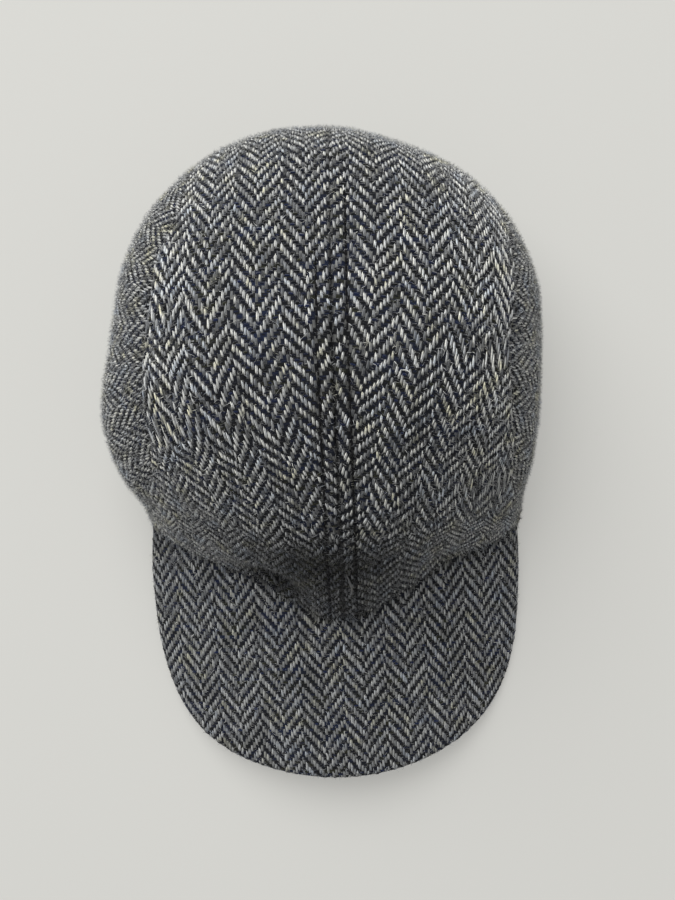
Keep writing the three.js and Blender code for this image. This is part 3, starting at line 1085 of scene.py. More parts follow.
@dataclass(kw_only=True)
class CrownSide(CrownPanel):
    """One side of the crown, from its seam down to the rim."""

    stripe_offset: float
    rows: int = 40
    step: float = 1.2
    middle_level: float = 2.9
    ripple_height: float = 0.45

    def grid(self, apron: float) -> tuple[np.ndarray, np.ndarray, np.ndarray]:
        """Returns the grid's azimuths and levels, and the seam's level at each azimuth.

        Args:
            apron: How far the grid runs up past the seam, in levels.
        """
        first, final = self.seam_table[0][0], self.seam_table[-1][0]
        azimuth = np.linspace(first, final, int((final - first) / self.step))
        seam = hermite(column(self.seam_table, 0), column(self.seam_table, 1), azimuth)[:, None]
        start = seam - apron
        level = start + (RIM_LEVEL - start) * np.linspace(0, 1, self.rows + 1)
        return np.repeat(azimuth[:, None], self.rows + 1, axis=1), level, seam

    def sheet(self, apron: float = 0.0) -> Sheet:
        """Builds the outer sheet.

        Args:
            apron: How far the sheet runs up past the seam, in levels.
                A sheet with an apron carries the threads.
        """
        azimuth, level, seam = self.grid(apron)
        plain = CROWN.point(azimuth, level)
        normals = CROWN.normal(azimuth, level)
        middle = CROWN.point(azimuth[:, 0], np.full(len(azimuth), self.middle_level))
        run = np.concatenate([[0], np.cumsum(np.linalg.norm(np.diff(middle, axis=0), axis=1))])
        u = np.repeat(run[:, None], self.rows + 1, axis=1) + self.stripe_offset
        v = -CROWN.profile_length(azimuth, level)
        edge = (level - seam) * self.level_run
        height = self.ripple_height * ripple(plain) * smoothstep(0, self.ripple_from, edge)
        height -= self.seam_groove(edge)
        points = plain + normals * height[..., None]
        self.keep_rim(points, plain, level)
        return Sheet(points, normals, u, v, edge > -self.seam_slack, self.seam_shade(edge))

    def carrier(self) -> Sheet:
        """Returns the sheet that threads are laid on."""
        return self.sheet(self.level_apron)

    def build(self) -> bpy.types.Object:
        """Builds the closed wall of cloth and returns it."""
        azimuth, level, _ = self.grid(0.0)
        return self.sheet().closed("cloth_" + self.node, self.inner_face(azimuth, level))


@dataclass(kw_only=True)
class Peak(Panel):
    """The stiff peak: an arched board covered with the same cloth above, below and round its edge."""

    node: str = "peak"
    slot: str = "peak_cloth"
    fibre_seed: int = 4
    thickness: float = 4.0
    arch_radius: float = 155.0
    height: float = 31.0
    pitch: float = 0.17
    seam_y: float = -81.4
    seam_start: float = 223.5
    seam_end: float = 317.5
    seam_levels: tuple[float, float] = (3.0, RIM_LEVEL)
    search_steps: int = 26
    tuck: float = 0.6
    stripe_centre: float = 2.9
    stripe_drift: float = -0.045
    drift_start: float = -86.0
    columns: int = 160
    rows: int = 44
    row_power: float = 0.9
    edge_rows: int = 6
    ripple_height: float = 0.25
    seam_dark: float = 0.55
    seam_dark_spread: float = 3.0
    bare_seam: float = 1.0

    def surface(self, x: np.ndarray, y: np.ndarray) -> np.ndarray:
        """Returns the height of the upper surface."""
        arch = self.arch_radius - np.sqrt(self.arch_radius**2 - x**2)
        return self.height + (y - self.seam_y) * self.pitch - arch

    def free_edge(self, share: np.ndarray) -> np.ndarray:
        """Returns x and y of the free edge, by share of the way from the left corner to the right one."""
        left = [(shift - half, y) for half, y, shift in PEAK_EDGE]
        right = [(shift + half, y) for half, y, shift in PEAK_EDGE[-2::-1]]
        corners = np.array(left + right, dtype=float)
        places = np.concatenate([[0], np.cumsum(np.hypot(*np.diff(corners, axis=0).T))])
        place = share * places[-1]
        return np.stack([hermite(places, corners[:, axis], place) for axis in range(2)], axis=1)

    def rear(self, share: np.ndarray, depth: float) -> np.ndarray:
        """Returns x and y where the crown's wall meets the peak, at a depth under the upper surface."""
        azimuth = self.seam_start + share * (self.seam_end - self.seam_start)
        upper, lower = (np.full_like(azimuth, level) for level in self.seam_levels)
        for _ in range(self.search_steps):
            middle = (upper + lower) / 2
            point = CROWN.point(azimuth, middle)
            above = point[:, 2] > self.surface(point[:, 0], point[:, 1]) - depth
            upper = np.where(above, middle, upper)
            lower = np.where(above, lower, middle)
        angle = np.radians(azimuth)
        outward = np.stack([np.cos(angle), np.sin(angle)], axis=1)
        return CROWN.point(azimuth, lower)[:, :2] - self.tuck * outward

    def plan(self, under: bool) -> tuple[np.ndarray, np.ndarray, np.ndarray]:
        """Lays out the grid from the seam over the board and round its edge.

        Args:
            under: Whether it is the grid of the lower face.

        Returns:
            The grid's x and y, and each row's depth under the upper surface.
        """
        share = np.linspace(0, 1, self.columns + 1)
        rear = self.rear(share, self.thickness if under else 0.0)
        front = self.free_edge(share)
        step = np.gradient(front, axis=0)
        out = np.stack([step[:, 1], -step[:, 0]], axis=1) / np.hypot(step[:, :1], step[:, 1:])
        radius = self.thickness / 2
        flat = np.linspace(0, 1, self.rows + 1) ** self.row_power
        board = rear[:, None] + (front - out * radius - rear)[:, None] * flat[:, None]
        turn = np.linspace(0, math.pi / 2, self.edge_rows + 1)[1:]
        edge = board[:, -1:] + out[:, None] * radius * np.sin(turn)[:, None]
        places = np.concatenate([board, edge], axis=1)
        drop = np.concatenate([np.zeros_like(flat), radius * (1 - np.cos(turn))])
        return places[..., 0], places[..., 1], self.thickness - drop if under else drop

    def sheet(self, under: bool = False) -> Sheet:
        """Builds the upper cloth with its rounded edge, or the cloth under the peak."""
        x, y, drop = self.plan(under)
        points = np.stack([x, y, self.surface(x, y) - drop], axis=-1)
        steps = np.linalg.norm(np.diff(points, axis=1), axis=2)
        length = np.concatenate([np.zeros((len(x), 1)), np.cumsum(steps, axis=1)], axis=1)
        normals = grid_normals(points)
        arc = self.arch_radius * np.arcsin(x / self.arch_radius)
        u = arc - self.stripe_centre - self.stripe_drift * (y - self.drift_start)
        v = y * math.hypot(1, self.pitch) + self.stripe_drift * arc - drop
        # Painted shade: the cloth grows darker near the seam, in the corner where the peak meets the crown's
        # wall.
        shade = 1 - self.seam_dark * dip(length, 0, self.seam_dark_spread)
        return Sheet(points, -normals if under else normals, u, v, length > self.bare_seam, shade)

    def carrier(self) -> Sheet:
        """Returns the sheet that threads are laid on."""
        return self.sheet()

    def build(self) -> bpy.types.Object:
        """Builds the closed, covered board and returns it."""
        upper = self.sheet()
        fade = np.ones(upper.points.shape[1])
        fade[-self.edge_rows:] = 0
        ripples = self.ripple_height * ripple(upper.points) * fade
        upper.points = upper.points + upper.normals * ripples[..., None]
        return upper.closed("cloth_" + self.node, self.sheet(under=True).points)


def run_tree(
    carrier: bpy.types.Object, tree: bpy.types.NodeTree, values: dict[str, float], name: str,
    material: bpy.types.Material,
) -> bpy.types.Object:
    """Runs a node group on a carrier and keeps the result as a plain mesh.

    Args:
        carrier: The object that the group works on, removed afterwards.
        tree: The node group.
        values: The group's inputs by name.
        name: The new piece's name.
        material: The new piece's material.

    Returns:
        The new piece.
    """
    modifier = carrier.modifiers.new("lay", "NODES")
    modifier.node_group = tree
    sockets = {item.name: item.identifier for item in tree.interface.items_tree if item.in_out == "INPUT"}
    for key, value in values.items():
        modifier[sockets[key]] = value
    bpy.context.view_layer.update()
    graph = bpy.context.evaluated_depsgraph_get()
    data = bpy.data.meshes.new_from_object(carrier.evaluated_get(graph))
    data.name = name
    carrier.modifiers.remove(modifier)
    bpy.data.objects.remove(carrier)
    data.materials.clear()
    data.materials.append(material)
    return put(name, data)


class ThreadKind(Enum):
    """Which threads a layer holds."""

    WARP = "warp"
    WEFT = "weft"


@dataclass(frozen=True)
class ThreadLayer:
    """Threads of the weave that lie over the others, as small rounded solids laid on a sheet.

    A warp thread is twisted from two plies, one of them duller. Sizes are in millimetres, angles in radians.
    """

    kind: ThreadKind
    length: float
    width: float
    rise: float
    lift: float
    seed: int
    segments: int = 4
    rings: int = 3
    tone_low: float = 0.0
    tone_high: float = 1.0
    thread_share: float = 0.15
    dull_ply: float = 0.45
    ply_offset: Vector = (0.27, -0.05, 0.07)
    ply_size: tuple[float, float] = (0.6, 0.9)
    dull_shrink: float = 0.15
    smallest: Vector = (0.7, 0.7, 0.62)
    largest: Vector = (1.2, 1.15, 1.15)
    jitter: Vector = (0.13, 0.3, 0.12)
    lean: tuple[float, float] = (-0.2, 0.14)
    least_room: float = 0.9

    def tree(self, material: bpy.types.Material) -> bpy.types.NodeTree:
        """Builds the tree that lays the threads.

        Args:
            material: The threads' material.

        Returns:
            The node group, whose inputs give the first thread and float, and how many there are.
        """
        counts = ("First thread", "Threads", "First float", "Floats")
        link = Laying(f"{self.kind.value}_threads", {"Sheet": "Geometry"} | dict.fromkeys(counts, "Int"))
        sheet, first, threads, first_float, floats = link.inputs[:5]
        points = link.add("GeometryNodePoints", {"Count": link.math("MULTIPLY", threads, floats)}).outputs[0]
        index = link.add("GeometryNodeInputIndex").outputs[0]
        thread = link.math("ADD", link.math("FLOOR", link.math("DIVIDE", index, floats)), first)
        order = link.math("ADD", link.math("FLOORED_MODULO", index, floats), first_float)
        is_warp = self.kind is ThreadKind.WARP
        place = self.warp_place(link, thread, order) if is_warp else self.weft_place(link, thread, order)
        room = link.sample(sheet, link.named("inside"), place)[0]
        reach = [value * MM for value in self.jitter]
        offset = link.random_vector(self.seed, tuple(-value for value in reach), tuple(reach))
        move = {"Geometry": points, "Position": place, "Offset": offset}
        placed = link.add("GeometryNodeSetPosition", move).outputs[0]
        toned = link.store(placed, "tone", self.tone(link, sheet, thread, place))
        grain = self.plies(link) if is_warp else self.strand(link)
        keep = link.math("GREATER_THAN", room, self.least_room)
        laid = link.instances(toned, grain, self.turn(link), self.size(link), Selection=keep)
        solid = link.realize(laid)
        if is_warp:
            lighter = link.math("SUBTRACT", 1.0, link.named("dull"))
            solid = link.store(solid, "tone", link.math("MULTIPLY", link.named("tone"), lighter))
        return link.finish(self.bend(link, sheet, solid), material, smooth=True)

    def warp_place(self, link: Link, thread: Socket, order: Socket) -> Socket:
        """Returns the place of each warp float across and along the stripes, from thread and order."""
        repeat = float(WEAVE.repeat)
        odd, sign = link.stripe(thread)
        slide = link.math("ADD", link.math("MULTIPLY", sign, thread), odd)
        start = link.math("MULTIPLY", order, repeat)
        pick = link.math("ADD", link.math("SUBTRACT", 1.0, slide), start)
        wrapped = link.math("ADD", link.math("FLOORED_MODULO", pick, repeat), start)
        across = link.math("MULTIPLY", link.math("ADD", thread, 0.5), WEAVE.warp_pitch * MM)
        return link.combine(across, link.math("MULTIPLY", wrapped, WEAVE.pick_pitch * MM))

    def weft_place(self, link: Link, row: Socket, order: Socket) -> Socket:
        """Returns the place of each weft float across and along the stripes, from pick row and order."""
        repeat = float(WEAVE.repeat)
        start = link.math("MULTIPLY", order, repeat)
        odd, _ = link.stripe(link.math("ADD", start, repeat / 2))
        even_place = link.math("FLOORED_MODULO", link.math("SUBTRACT", 3.0, row), repeat)
        odd_place = link.math("FLOORED_MODULO", link.math("SUBTRACT", row, 1.0), repeat)
        even_part = link.math("MULTIPLY", link.math("SUBTRACT", 1.0, odd), even_place)
        place = link.math("ADD", link.math("MULTIPLY", odd, odd_place), even_part)
        across = link.math("MULTIPLY", link.math("ADD", start, place), WEAVE.warp_pitch * MM)
        return link.combine(across, link.math("MULTIPLY", link.math("ADD", row, 0.5), WEAVE.pick_pitch * MM))

    def size(self, link: Laying) -> Socket:
        """Returns each thread's own size."""
        full = (self.width * MM, self.rise * MM, self.length * MM)
        if self.kind is ThreadKind.WEFT:
            full = (self.rise * MM, self.width * MM, self.length * MM)
        own = link.random_vector(self.seed + 1, self.smallest, self.largest)
        return link.vector("MULTIPLY", {0: own, 1: full})

    def turn(self, link: Laying) -> Socket:
        """Returns each thread's turn: along its yarn, with a slight lean of its own."""
        lean = link.random(self.seed + 2, *self.lean)
        quarter = math.pi / 2
        about_x, about_y = (quarter, 0.0) if self.kind is ThreadKind.WARP else (0.0, quarter)
        return link.combine(about_x, about_y, lean)

    def strand(self, link: Laying) -> Socket:
        """Returns one rounded solid of unit size."""
        ball = {"Segments": self.segments, "Rings": self.rings, "Radius": 0.5}
        return link.add("GeometryNodeMeshUVSphere", ball).outputs[0]

    def plies(self, link: Laying) -> Socket:
        """Returns two strands side by side, the second marked as dull."""
        strand = self.strand(link)
        joined = link.add("GeometryNodeJoinGeometry")
        for side, dull in ((-1, 0.0), (1, self.dull_ply)):
            place = {
                "Geometry": strand, "Translation": tuple(side * value for value in self.ply_offset),
                "Scale": (self.ply_size[0], 1.0 - self.dull_shrink * dull, self.ply_size[1]),
            }
            ply = link.add("GeometryNodeTransform", place).outputs[0]
            link.feed(joined.inputs[0], link.store(ply, "dull", dull))
        return joined.outputs[0]

    def tone(self, link: Laying, sheet: Socket, thread: Socket, place: Socket) -> Socket:
        """Returns each thread's tone: its own share, its yarn's share and the sheet's shade."""
        own = link.math("MULTIPLY", link.random(self.seed + 3), 1 - self.thread_share)
        yarn = link.add("ShaderNodeTexWhiteNoise", {"W": thread}, noise_dimensions="1D").outputs[0]
        share = link.math("ADD", own, link.math("MULTIPLY", yarn, self.thread_share))
        reach = link.math("MULTIPLY", share, self.tone_high - self.tone_low)
        ranged = link.math("ADD", self.tone_low, reach)
        return link.math("MULTIPLY", ranged, link.sample(sheet, link.named("shade"), place)[0])

    def bend(self, link: Laying, sheet: Socket, solid: Socket) -> Socket:
        """Bends threads that lie on the flat UV map onto the sheet, and drops what hangs past it."""
        across, along, height = link.parts(link.add("GeometryNodeInputPosition").outputs[0])
        flat = link.combine(across, along)
        position = link.add("GeometryNodeInputPosition").outputs[0]
        normal = link.add("GeometryNodeInputNormal").outputs[0]
        where, found = link.sample(sheet, position, flat, "FLOAT_VECTOR")
        facing = link.sample(sheet, normal, flat, "FLOAT_VECTOR")[0]
        high = link.math("ADD", height, self.lift * MM)
        out = link.vector("SCALE", {0: facing, "Scale": high})
        missing = link.add("FunctionNodeBooleanMath", {0: found}, operation="NOT").outputs[0]
        whole = link.add("GeometryNodeDeleteGeometry", {"Geometry": solid, "Selection": missing}).outputs[0]
        final = {"Geometry": whole, "Position": link.vector("ADD", {0: where, 1: out})}
        return link.add("GeometryNodeSetPosition", final).outputs[0]

    def lay(
        self, panel: Panel, name: str, material: bpy.types.Material, tree: bpy.types.NodeTree
    ) -> bpy.types.Object:
        """Lays the threads over a panel.

        Args:
            panel: The panel that carries them.
            name: The new piece's name.
            material: The threads' material.
            tree: The node group from tree().

        Returns:
            One plain mesh of all the threads.
        """
        sheet = panel.carrier()
        places = sheet.thread_map() / MM / (WEAVE.warp_pitch, WEAVE.pick_pitch)
        across, along = np.stack([places.min(axis=0), places.max(axis=0)], axis=1)
        outer, inner = (across, along) if self.kind is ThreadKind.WARP else (along, across)
        values = {
            "First thread": math.floor(outer[0]) - 1,
            "Threads": math.ceil(outer[1] - outer[0]) + 3,
            "First float": math.floor(inner[0] / WEAVE.repeat) - 1,
            "Floats": math.ceil((inner[1] - inner[0]) / WEAVE.repeat) + 3,
        }
        return run_tree(sheet.mesh("guide_" + name), tree, values, name, material)


class FibreKind(Enum):
    """The two sorts of loose fibre."""

    DOWN = "down"
    STRAY = "stray"


@dataclass(frozen=True)
class FuzzLayer:
    """Loose wool fibres that stand a little off the cloth, denser where it is steep.

    Sizes are in millimetres, and the density is for each square metre.
    """

    kind: FibreKind
    length: float
    rise: float
    thickness: float
    density: float
    seed: int
    scatter_seed: int
    floor_gap: float = 4.0
    steep_share: float = 1.0
    level_share: float = 1.0
    steep_range: tuple[float, float] = (0.25, 0.95)
    smallest: Vector = (0.5, -1.3, 0.25)
    largest: Vector = (1.5, 1.3, 1.5)
    cone_depth: float = 1.4
    cone_lean: float = 0.8
    curl: tuple[Vector, Vector, Vector, Vector] = (
        (0, 0, -0.1), (0.3, -0.1, 1.0), (0.9, 0.6, 1.2), (1.0, -0.1, 0.8),
    )
    curl_steps: int = 5

    def fibre(self, link: Laying) -> Socket:
        """Returns one fibre of unit length that runs along x and rises along z."""
        radius = self.thickness / self.length / 2
        if self.kind is FibreKind.DOWN:
            sizes = {"Vertices": 3, "Radius Top": 0.0, "Radius Bottom": radius, "Depth": self.cone_depth}
            cone = link.add("GeometryNodeMeshCone", sizes).outputs[0]
            leaning = {"Geometry": cone, "Rotation": (0, self.cone_lean, 0)}
            return link.add("GeometryNodeTransform", leaning).outputs[0]
        places = dict(zip(("Start", "Start Handle", "End Handle", "End"), self.curl))
        bend = {"Resolution": self.curl_steps} | places
        spine = link.add("GeometryNodeCurvePrimitiveBezierSegment", bend).outputs[0]
        ring = link.add("GeometryNodeCurvePrimitiveCircle", {"Resolution": 3, "Radius": radius}).outputs[0]
        tube = {"Curve": spine, "Profile Curve": ring, "Fill Caps": True}
        return link.add("GeometryNodeCurveToMesh", tube).outputs[0]

    def tree(self, material: bpy.types.Material) -> bpy.types.NodeTree:
        """Builds the tree that scatters the fibres.

        Args:
            material: The fibres' material.

        Returns:
            The node group, whose inputs give the fibres for each square metre and the seed.
        """
        inputs = {"Sheet": "Geometry", "Fibres per area": "Float", "Seed": "Int"}
        link = Laying(f"{self.kind.value}_fibres", inputs)
        sheet, density, seed = link.inputs[:3]
        height = link.parts(link.add("GeometryNodeInputPosition").outputs[0])[2]
        facing = link.parts(link.add("GeometryNodeInputNormal").outputs[0])[2]
        nap = link.span(facing, *self.steep_range, start=self.steep_share, end=self.level_share)
        spots = link.add(
            "GeometryNodeDistributePointsOnFaces",
            {"Mesh": sheet, "Selection": link.math("GREATER_THAN", height, self.floor_gap * MM),
             "Density": link.math("MULTIPLY", density, nap), "Seed": seed},
            distribute_method="RANDOM",
        )
        full = (self.length * MM, self.length * MM, self.rise * MM)
        smallest = tuple(share * size for share, size in zip(self.smallest, full))
        largest = tuple(share * size for share, size in zip(self.largest, full))
        size = link.random_vector(self.seed, smallest, largest)
        laid = link.instances(spots.outputs[0], self.fibre(link), spots.outputs[2], size)
        turn = link.random_vector(self.seed + 1, (0, 0, 0), (0, 0, 2 * math.pi))
        turned = link.add("GeometryNodeRotateInstances", {"Instances": laid, "Rotation": turn}).outputs[0]
        tone = link.math("MULTIPLY", link.random(self.seed + 2), link.named("shade"))
        return link.finish(link.store(turned, "tone", tone, domain="INSTANCE"), material, smooth=False)

    def lay(
        self, panel: Panel, name: str, material: bpy.types.Material, tree: bpy.types.NodeTree
    ) -> bpy.types.Object:
        """Scatters the fibres over a panel and returns them as one plain mesh.

        Args:
            panel: The panel that carries them.
            name: The new piece's name.
            material: The fibres' material.
            tree: The node group from tree().
        """
        values = {"Fibres per area": self.density, "Seed": panel.fibre_seed + self.scatter_seed}
        return run_tree(panel.sheet().mesh("guide_" + name), tree, values, name, material)


@dataclass(frozen=True)
class Coat:
    """A layer with its material and its node group, ready to be laid on a panel."""

    layer: ThreadLayer | FuzzLayer
    material: bpy.types.Material
    tree: bpy.types.NodeTree

    @classmethod
    def of(cls, layer: ThreadLayer | FuzzLayer, material: bpy.types.Material) -> "Coat":
        """Builds the layer's node group and returns the coat."""
        return cls(layer, material, layer.tree(material))

    def lay(self, panel: Panel) -> bpy.types.Object:
        """Lays the coat on a panel and returns the new piece."""
        return self.layer.lay(panel, f"{self.layer.kind.value}_{panel.node}", self.material, self.tree)


@dataclass(frozen=True)
class Topstitching:
    """The rows of stitches that hold the centre seam's allowances down, one on each side of it."""

    length: float = 3.2
    thickness: float = 0.95
    smallest: float = 0.85
    largest: float = 1.1
    sink: float = 0.15
    lost_depth: float = 0.8
    lost_over: float = 15.0
    rim_gap: float = 0.1
    summit_gap: float = 0.25
    steps: int = 160
    segments: int = 6
    rings: int = 4
    seed: int = 3
    rounds: int = 3

    def line(self, side: Side) -> np.ndarray:
        """Returns points along one row, from the back of the rim over the top to the front."""
        level = np.linspace(RIM_LEVEL - self.rim_gap, self.summit_gap, self.steps)
        halves = []
        for start, turn in ((SEAM_BACK, -1), (SEAM_FRONT, 1)):
            azimuth = np.full_like(level, start)
            for _ in range(self.rounds):
                point = CROWN.point(azimuth, level)
                radius = np.hypot(point[:, 0] - SUMMIT[0], point[:, 1] - SUMMIT[1])
                lean = np.degrees(np.arcsin(np.clip(SEAM.stitch_distance / radius, 0, 1)))
                azimuth = start + turn * side.value * lean
            behind = point[:, 1] - SUMMIT[1]
            last = SEAM.last_stitch(side)
            lost = self.lost_depth * smoothstep(last, last + self.lost_over, behind)
            height = SEAM.band_rise / 2 * SEAM.relief(behind) - self.sink - lost
            row = CROWN.point(azimuth, level) + CROWN.normal(azimuth, level) * height[:, None]
            halves.append(row[radius > SEAM.stitch_distance])
        return np.concatenate([halves[0], halves[1][::-1]])

    def tree(self, material: bpy.types.Material) -> bpy.types.NodeTree:
        """Builds the tree that sets a stitch at every pitch along a line."""
        link = Laying("stitches", {"Line": "Geometry", "Pitch": "Float"})
        line, pitch = link.inputs[:2]
        curve = link.add("GeometryNodeMeshToCurve", {0: line}).outputs[0]
        spacing = {"Curve": curve, "Length": pitch}
        even = link.add("GeometryNodeResampleCurve", spacing, mode="LENGTH").outputs[0]
        tangent = link.add("GeometryNodeInputTangent").outputs[0]
        turn = link.add("FunctionNodeAlignRotationToVector", {"Vector": tangent}, axis="Z").outputs[0]
        ball = {"Segments": self.segments, "Rings": self.rings, "Radius": 0.5}
        capsule = link.add("GeometryNodeMeshUVSphere", ball).outputs[0]
        full = (self.thickness * MM, self.thickness * MM, self.length * MM)
        smallest = tuple(self.smallest * size for size in full)
        largest = tuple(self.largest * size for size in full)
        size = link.random_vector(self.seed, smallest, largest)
        return link.finish(link.instances(even, capsule, turn, size), material, smooth=True)

    def lay(self, side: Side, material: bpy.types.Material, tree: bpy.types.NodeTree) -> bpy.types.Object:
        """Sets one row of stitches and returns it as a plain mesh."""
        name = "stitches_" + side.name.lower()
        points = to_metres(self.line(side))
        data = bpy.data.meshes.new("guide_" + name)
        data.from_pydata(points, [(index, index + 1) for index in range(len(points) - 1)], [])
        return run_tree(put("guide_" + name, data), tree, {"Pitch": SEAM.stitch_pitch * MM}, name, material)


@dataclass(frozen=True)
class Lint:
    """A loose curl or slub of light wool that lies on the crown, along points by azimuth and level."""

    name: str
    path: Table
    lift: float = 1.1
    hump: float = 0.5
    thickness: float = 0.32
    thin_end: float = 0.35
    tone: float = 1.0
    steps: int = 14
    sides: int = 6
    end_turn: float = 0.1
    aside: Vector = (0.31, 0.17, 0.93)

    def spine(self) -> np.ndarray:
        """Returns the points that the curl follows, rising a little in its middle."""
        azimuth = column(self.path, 0)
        level = column(self.path, 1)
        normal = CROWN.normal(azimuth, level)
        corners = CROWN.point(azimuth, level) + normal * self.lift
        knots = np.concatenate([[0], np.cumsum(np.linalg.norm(np.diff(corners, axis=0), axis=1))])
        place = np.linspace(0, knots[-1], self.steps)
        spine = np.stack([hermite(knots, corners[:, axis], place) for axis in range(3)], axis=1)
        return spine + np.sin(np.linspace(0, math.pi, self.steps))[:, None] * normal.mean(axis=0) * self.hump

    def build(self, material: bpy.types.Material) -> bpy.types.Object:
        """Builds the curl as a closed tube that thins towards its ends, and returns it."""
        spine = self.spine()
        along = np.gradient(spine, axis=0)
        along /= np.linalg.norm(along, axis=1, keepdims=True)
        across = np.cross(along, self.aside)
        across /= np.linalg.norm(across, axis=1, keepdims=True)
        up = np.cross(across, along)
        turn = np.linspace(self.end_turn, math.pi - self.end_turn, self.steps)
        taper = self.thin_end + (1 - self.thin_end) * np.sin(turn)
        angles = np.linspace(0, 2 * math.pi, self.sides, endpoint=False)[:, None]
        ring = across[:, None] * np.cos(angles) + up[:, None] * np.sin(angles)
        points = spine[:, None] + ring * (self.thickness / 2 * taper)[:, None, None]
        index = np.arange(self.steps * self.sides).reshape(self.steps, self.sides)
        after = np.roll(index, -1, axis=1)
        faces = np.stack([index[:-1], after[:-1], after[1:], index[1:]], axis=-1).reshape(-1, 4).tolist()
        faces += [index[0, ::-1].tolist(), index[-1].tolist()]
        data = bpy.data.meshes.new(self.name)
        data.from_pydata(to_metres(points.reshape(-1, 3)), [], faces)
        face_outwards(data)
        paint(data, "tone", np.full(len(data.vertices), self.tone))
        set_smooth(data)
        data.materials.append(material)
        return put(self.name, data)


PANELS = (
    CrownTop(node="top_left", side=Side.LEFT, seam_table=LEFT_SEAM, shift_table=LEFT_SHIFT, fibre_seed=8),
    CrownTop(
        node="top_right", side=Side.RIGHT, seam_table=RIGHT_SEAM, shift_table=RIGHT_SHIFT, fibre_seed=9
    ),
    CrownSide(node="side_left", seam_table=LEFT_SEAM, stripe_offset=9.0, fibre_seed=9),
    CrownSide(node="side_right", seam_table=RIGHT_SEAM, stripe_offset=-2.5, fibre_seed=10),
    Peak(),
)

CROWN_WARP = ThreadLayer(ThreadKind.WARP, length=4.1, width=0.86, rise=0.9, lift=0.05, seed=11)
PEAK_WARP = ThreadLayer(
    ThreadKind.WARP, length=4.6, width=1.0, rise=0.7, lift=0.0, seed=17, tone_low=0.14, tone_high=0.47,
    dull_ply=0.35,
)
WEFT = ThreadLayer(ThreadKind.WEFT, length=2.8, width=1.5, rise=0.7, lift=-0.05, seed=23, thread_share=0.4)

CROWN_DOWN = FuzzLayer(
    FibreKind.DOWN, length=1.5, rise=1.5, thickness=0.25, density=430000, seed=41, scatter_seed=5,
    steep_share=2.8, level_share=0.15,
)
PEAK_DOWN = FuzzLayer(
    FibreKind.DOWN, length=1.5, rise=1.2, thickness=0.2, density=430000, seed=43, scatter_seed=5,
    steep_share=1.3, level_share=0.7,
)
STRAY = FuzzLayer(
    FibreKind.STRAY, length=4.0, rise=1.4, thickness=0.1, density=20000, seed=47, scatter_seed=6,
    floor_gap=7.0,
)

LINTS = (
    Lint("lint_curl", ((338.0, 0.66), (339.5, 0.72), (338.0, 0.76), (334.5, 0.76)), thickness=0.42),
    Lint(
        "lint_faint", ((356.5, 0.96), (357.0, 1.0), (356.0, 1.04), (353.0, 1.04)), thickness=0.22,
        tone=0.7,
    ),
    Lint(
        "seam_slub", ((273.6, 2.62), (274.2, 2.8), (274.6, 3.0), (273.9, 3.18)), lift=0.7, hump=0.2,
        thickness=1.0, tone=0.1,
    ),
)


class Cap:
    """The whole cap: its cloth, threads and loose fibres, its stitches and its lint."""

    def __init__(self) -> None:
        """Makes the materials, and the coats that the panels share."""
        self.wool = WoolCloth().build()
        self.loose = FIBRE.build()
        light = LIGHT_YARN.build()
        weft = Coat.of(WEFT, DARK_YARN.build())
        stray = Coat.of(STRAY, self.loose)
        crown = (Coat.of(CROWN_WARP, light), weft, Coat.of(CROWN_DOWN, self.loose), stray)
        peak = (Coat.of(PEAK_WARP, light), weft, Coat.of(PEAK_DOWN, self.loose), stray)
        self.coats = {"crown_cloth": crown, "peak_cloth": peak}

    def adopt(self, piece: bpy.types.Object, slot: str) -> bpy.types.Object:
        """Lets a piece ride on the cap's one body and returns it."""
        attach(piece, "root")
        return piece

    def dress(self, panel: Panel) -> Iterator[bpy.types.Object]:
        """Builds a panel's cloth in place of its solid, lays its coats and returns each piece."""
        cloth = panel.build()
        cloth.data.materials.append(self.wool)
        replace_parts(self.adopt(cloth, panel.slot), panel.node)
        yield cloth
        for coat in self.coats[panel.slot]:
            yield self.adopt(coat.lay(panel), panel.slot)

    def build(self) -> Iterator[bpy.types.Object]:
        """Builds the cap and returns each piece in turn."""
        for panel in PANELS:
            yield from self.dress(panel)
        stitching = Topstitching()
        thread = STITCH_YARN.build()
        tree = stitching.tree(thread)
        for side in Side:
            yield self.adopt(stitching.lay(side, thread, tree), "crown_cloth")
        for lint in LINTS:
            yield self.adopt(lint.build(self.loose), "crown_cloth")


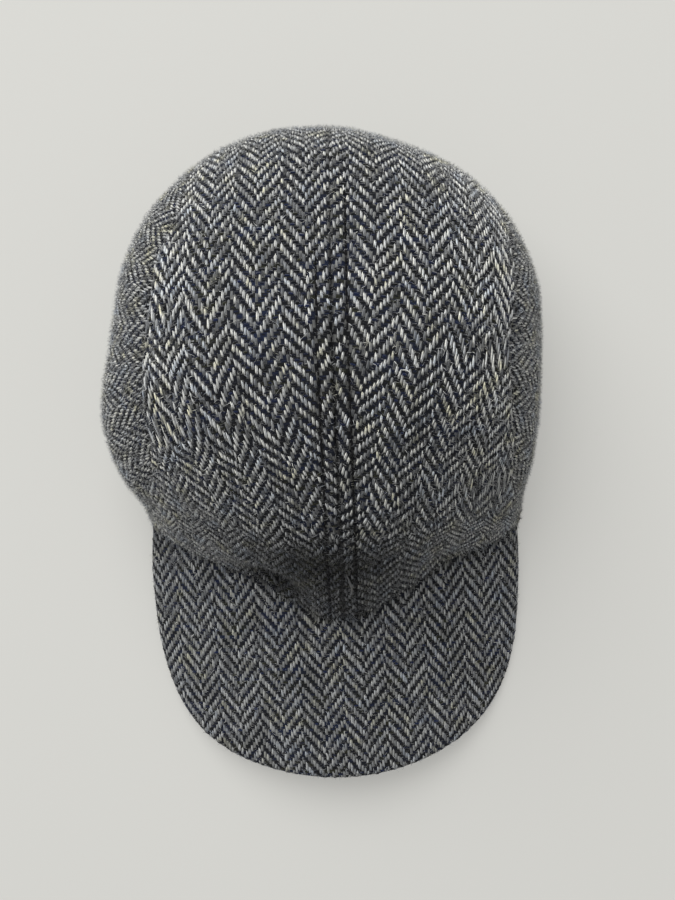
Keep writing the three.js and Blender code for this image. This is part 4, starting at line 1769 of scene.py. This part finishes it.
@dataclass(frozen=True)
class Studio:
    """Floor, light and camera.

    The camera's place and sensor are in millimetres, and the others in metres and degrees.
    """

    camera_height: float = 580.0
    camera_x: float = 0.7
    focal_pixels: float = 1205.0
    picture_height: float = 900.0
    sensor: float = 36.0
    floor_size: float = 8.0
    floor_colour: Colour = (0.32, 0.317, 0.298, 1)
    floor_roughness: float = 0.9
    floor_gloss: float = 0.1
    glow_colour: Colour = (1.0, 0.995, 0.95, 1)
    floor_glow: float = 0.328
    sky_colour: Colour = (1.0, 1.0, 1.0, 1)
    sky_strength: float = 0.4
    panel_size: float = 3.4
    panel_power: float = 129.0
    panel_colour: Vector = (0.985, 0.99, 1.0)
    panel_distance: float = 3.2
    panel_rise: float = 44.0
    panel_turn: float = 27.0

    def build(self) -> None:
        """Builds the floor, the lights and the camera."""
        self.floor()
        self.lights()
        self.camera()

    def floor(self) -> None:
        """Builds the plain pale floor."""
        half = self.floor_size / 2
        data = bpy.data.meshes.new("floor")
        corners = [(-half, -half, 0), (half, -half, 0), (half, half, 0), (-half, half, 0)]
        data.from_pydata(corners, [], [(0, 1, 2, 3)])
        material, _, shader = new_material("pale_floor")
        set_inputs(shader, {
            "Base Color": self.floor_colour, "Roughness": self.floor_roughness,
            "Specular IOR Level": self.floor_gloss, "Emission Color": self.glow_colour,
            "Emission Strength": self.floor_glow,
        })
        data.materials.append(material)
        put("floor", data)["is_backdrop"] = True

    def lights(self) -> None:
        """Builds a dim even sky and one very large soft panel behind the cap, a little to the left."""
        scene = bpy.context.scene
        world = bpy.data.worlds.new("soft_room")
        world.use_nodes = True
        sky = world.node_tree.nodes["Background"]
        set_inputs(sky, {"Color": self.sky_colour, "Strength": self.sky_strength})
        scene.world = world
        panel = bpy.data.lights.new("back_panel", "AREA")
        panel.shape = "DISK"
        panel.size = self.panel_size
        panel.energy = self.panel_power
        panel.color = self.panel_colour
        item = bpy.data.objects.new("back_panel", panel)
        rise = math.radians(self.panel_rise)
        turn = math.radians(self.panel_turn)
        flat = math.cos(rise)
        towards = np.array([-math.sin(turn) * flat, math.cos(turn) * flat, math.sin(rise)])
        item.location = tuple(towards * self.panel_distance)
        item.rotation_euler = (math.pi / 2 - rise, 0.0, turn + math.pi)
        scene.collection.objects.link(item)

    def camera(self) -> None:
        """Builds the camera, straight above the point that the tables are measured from."""
        lens = bpy.data.cameras.new("camera")
        lens.sensor_fit = "VERTICAL"
        lens.sensor_height = self.sensor
        lens.lens = self.focal_pixels * self.sensor / self.picture_height
        item = bpy.data.objects.new("camera", lens)
        item.location = tuple(to_metres(np.array([self.camera_x, 0.0, self.camera_height])))
        bpy.context.scene.collection.objects.link(item)
        bpy.context.scene.camera = item


def main() -> None:
    """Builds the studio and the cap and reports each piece."""
    logging.basicConfig(level=logging.INFO, format="%(name)s: %(message)s")
    Studio().build()
    for piece in Cap().build():
        LOG.info("%s: %d faces", piece.name, len(piece.data.polygons))
    bpy.context.scene.view_settings.view_transform = "Standard"
    bounds = [[list(map(float, corner)) for corner in box] for box in (CAD_BOUNDS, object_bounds())]


if __name__ == "__main__":
    main()
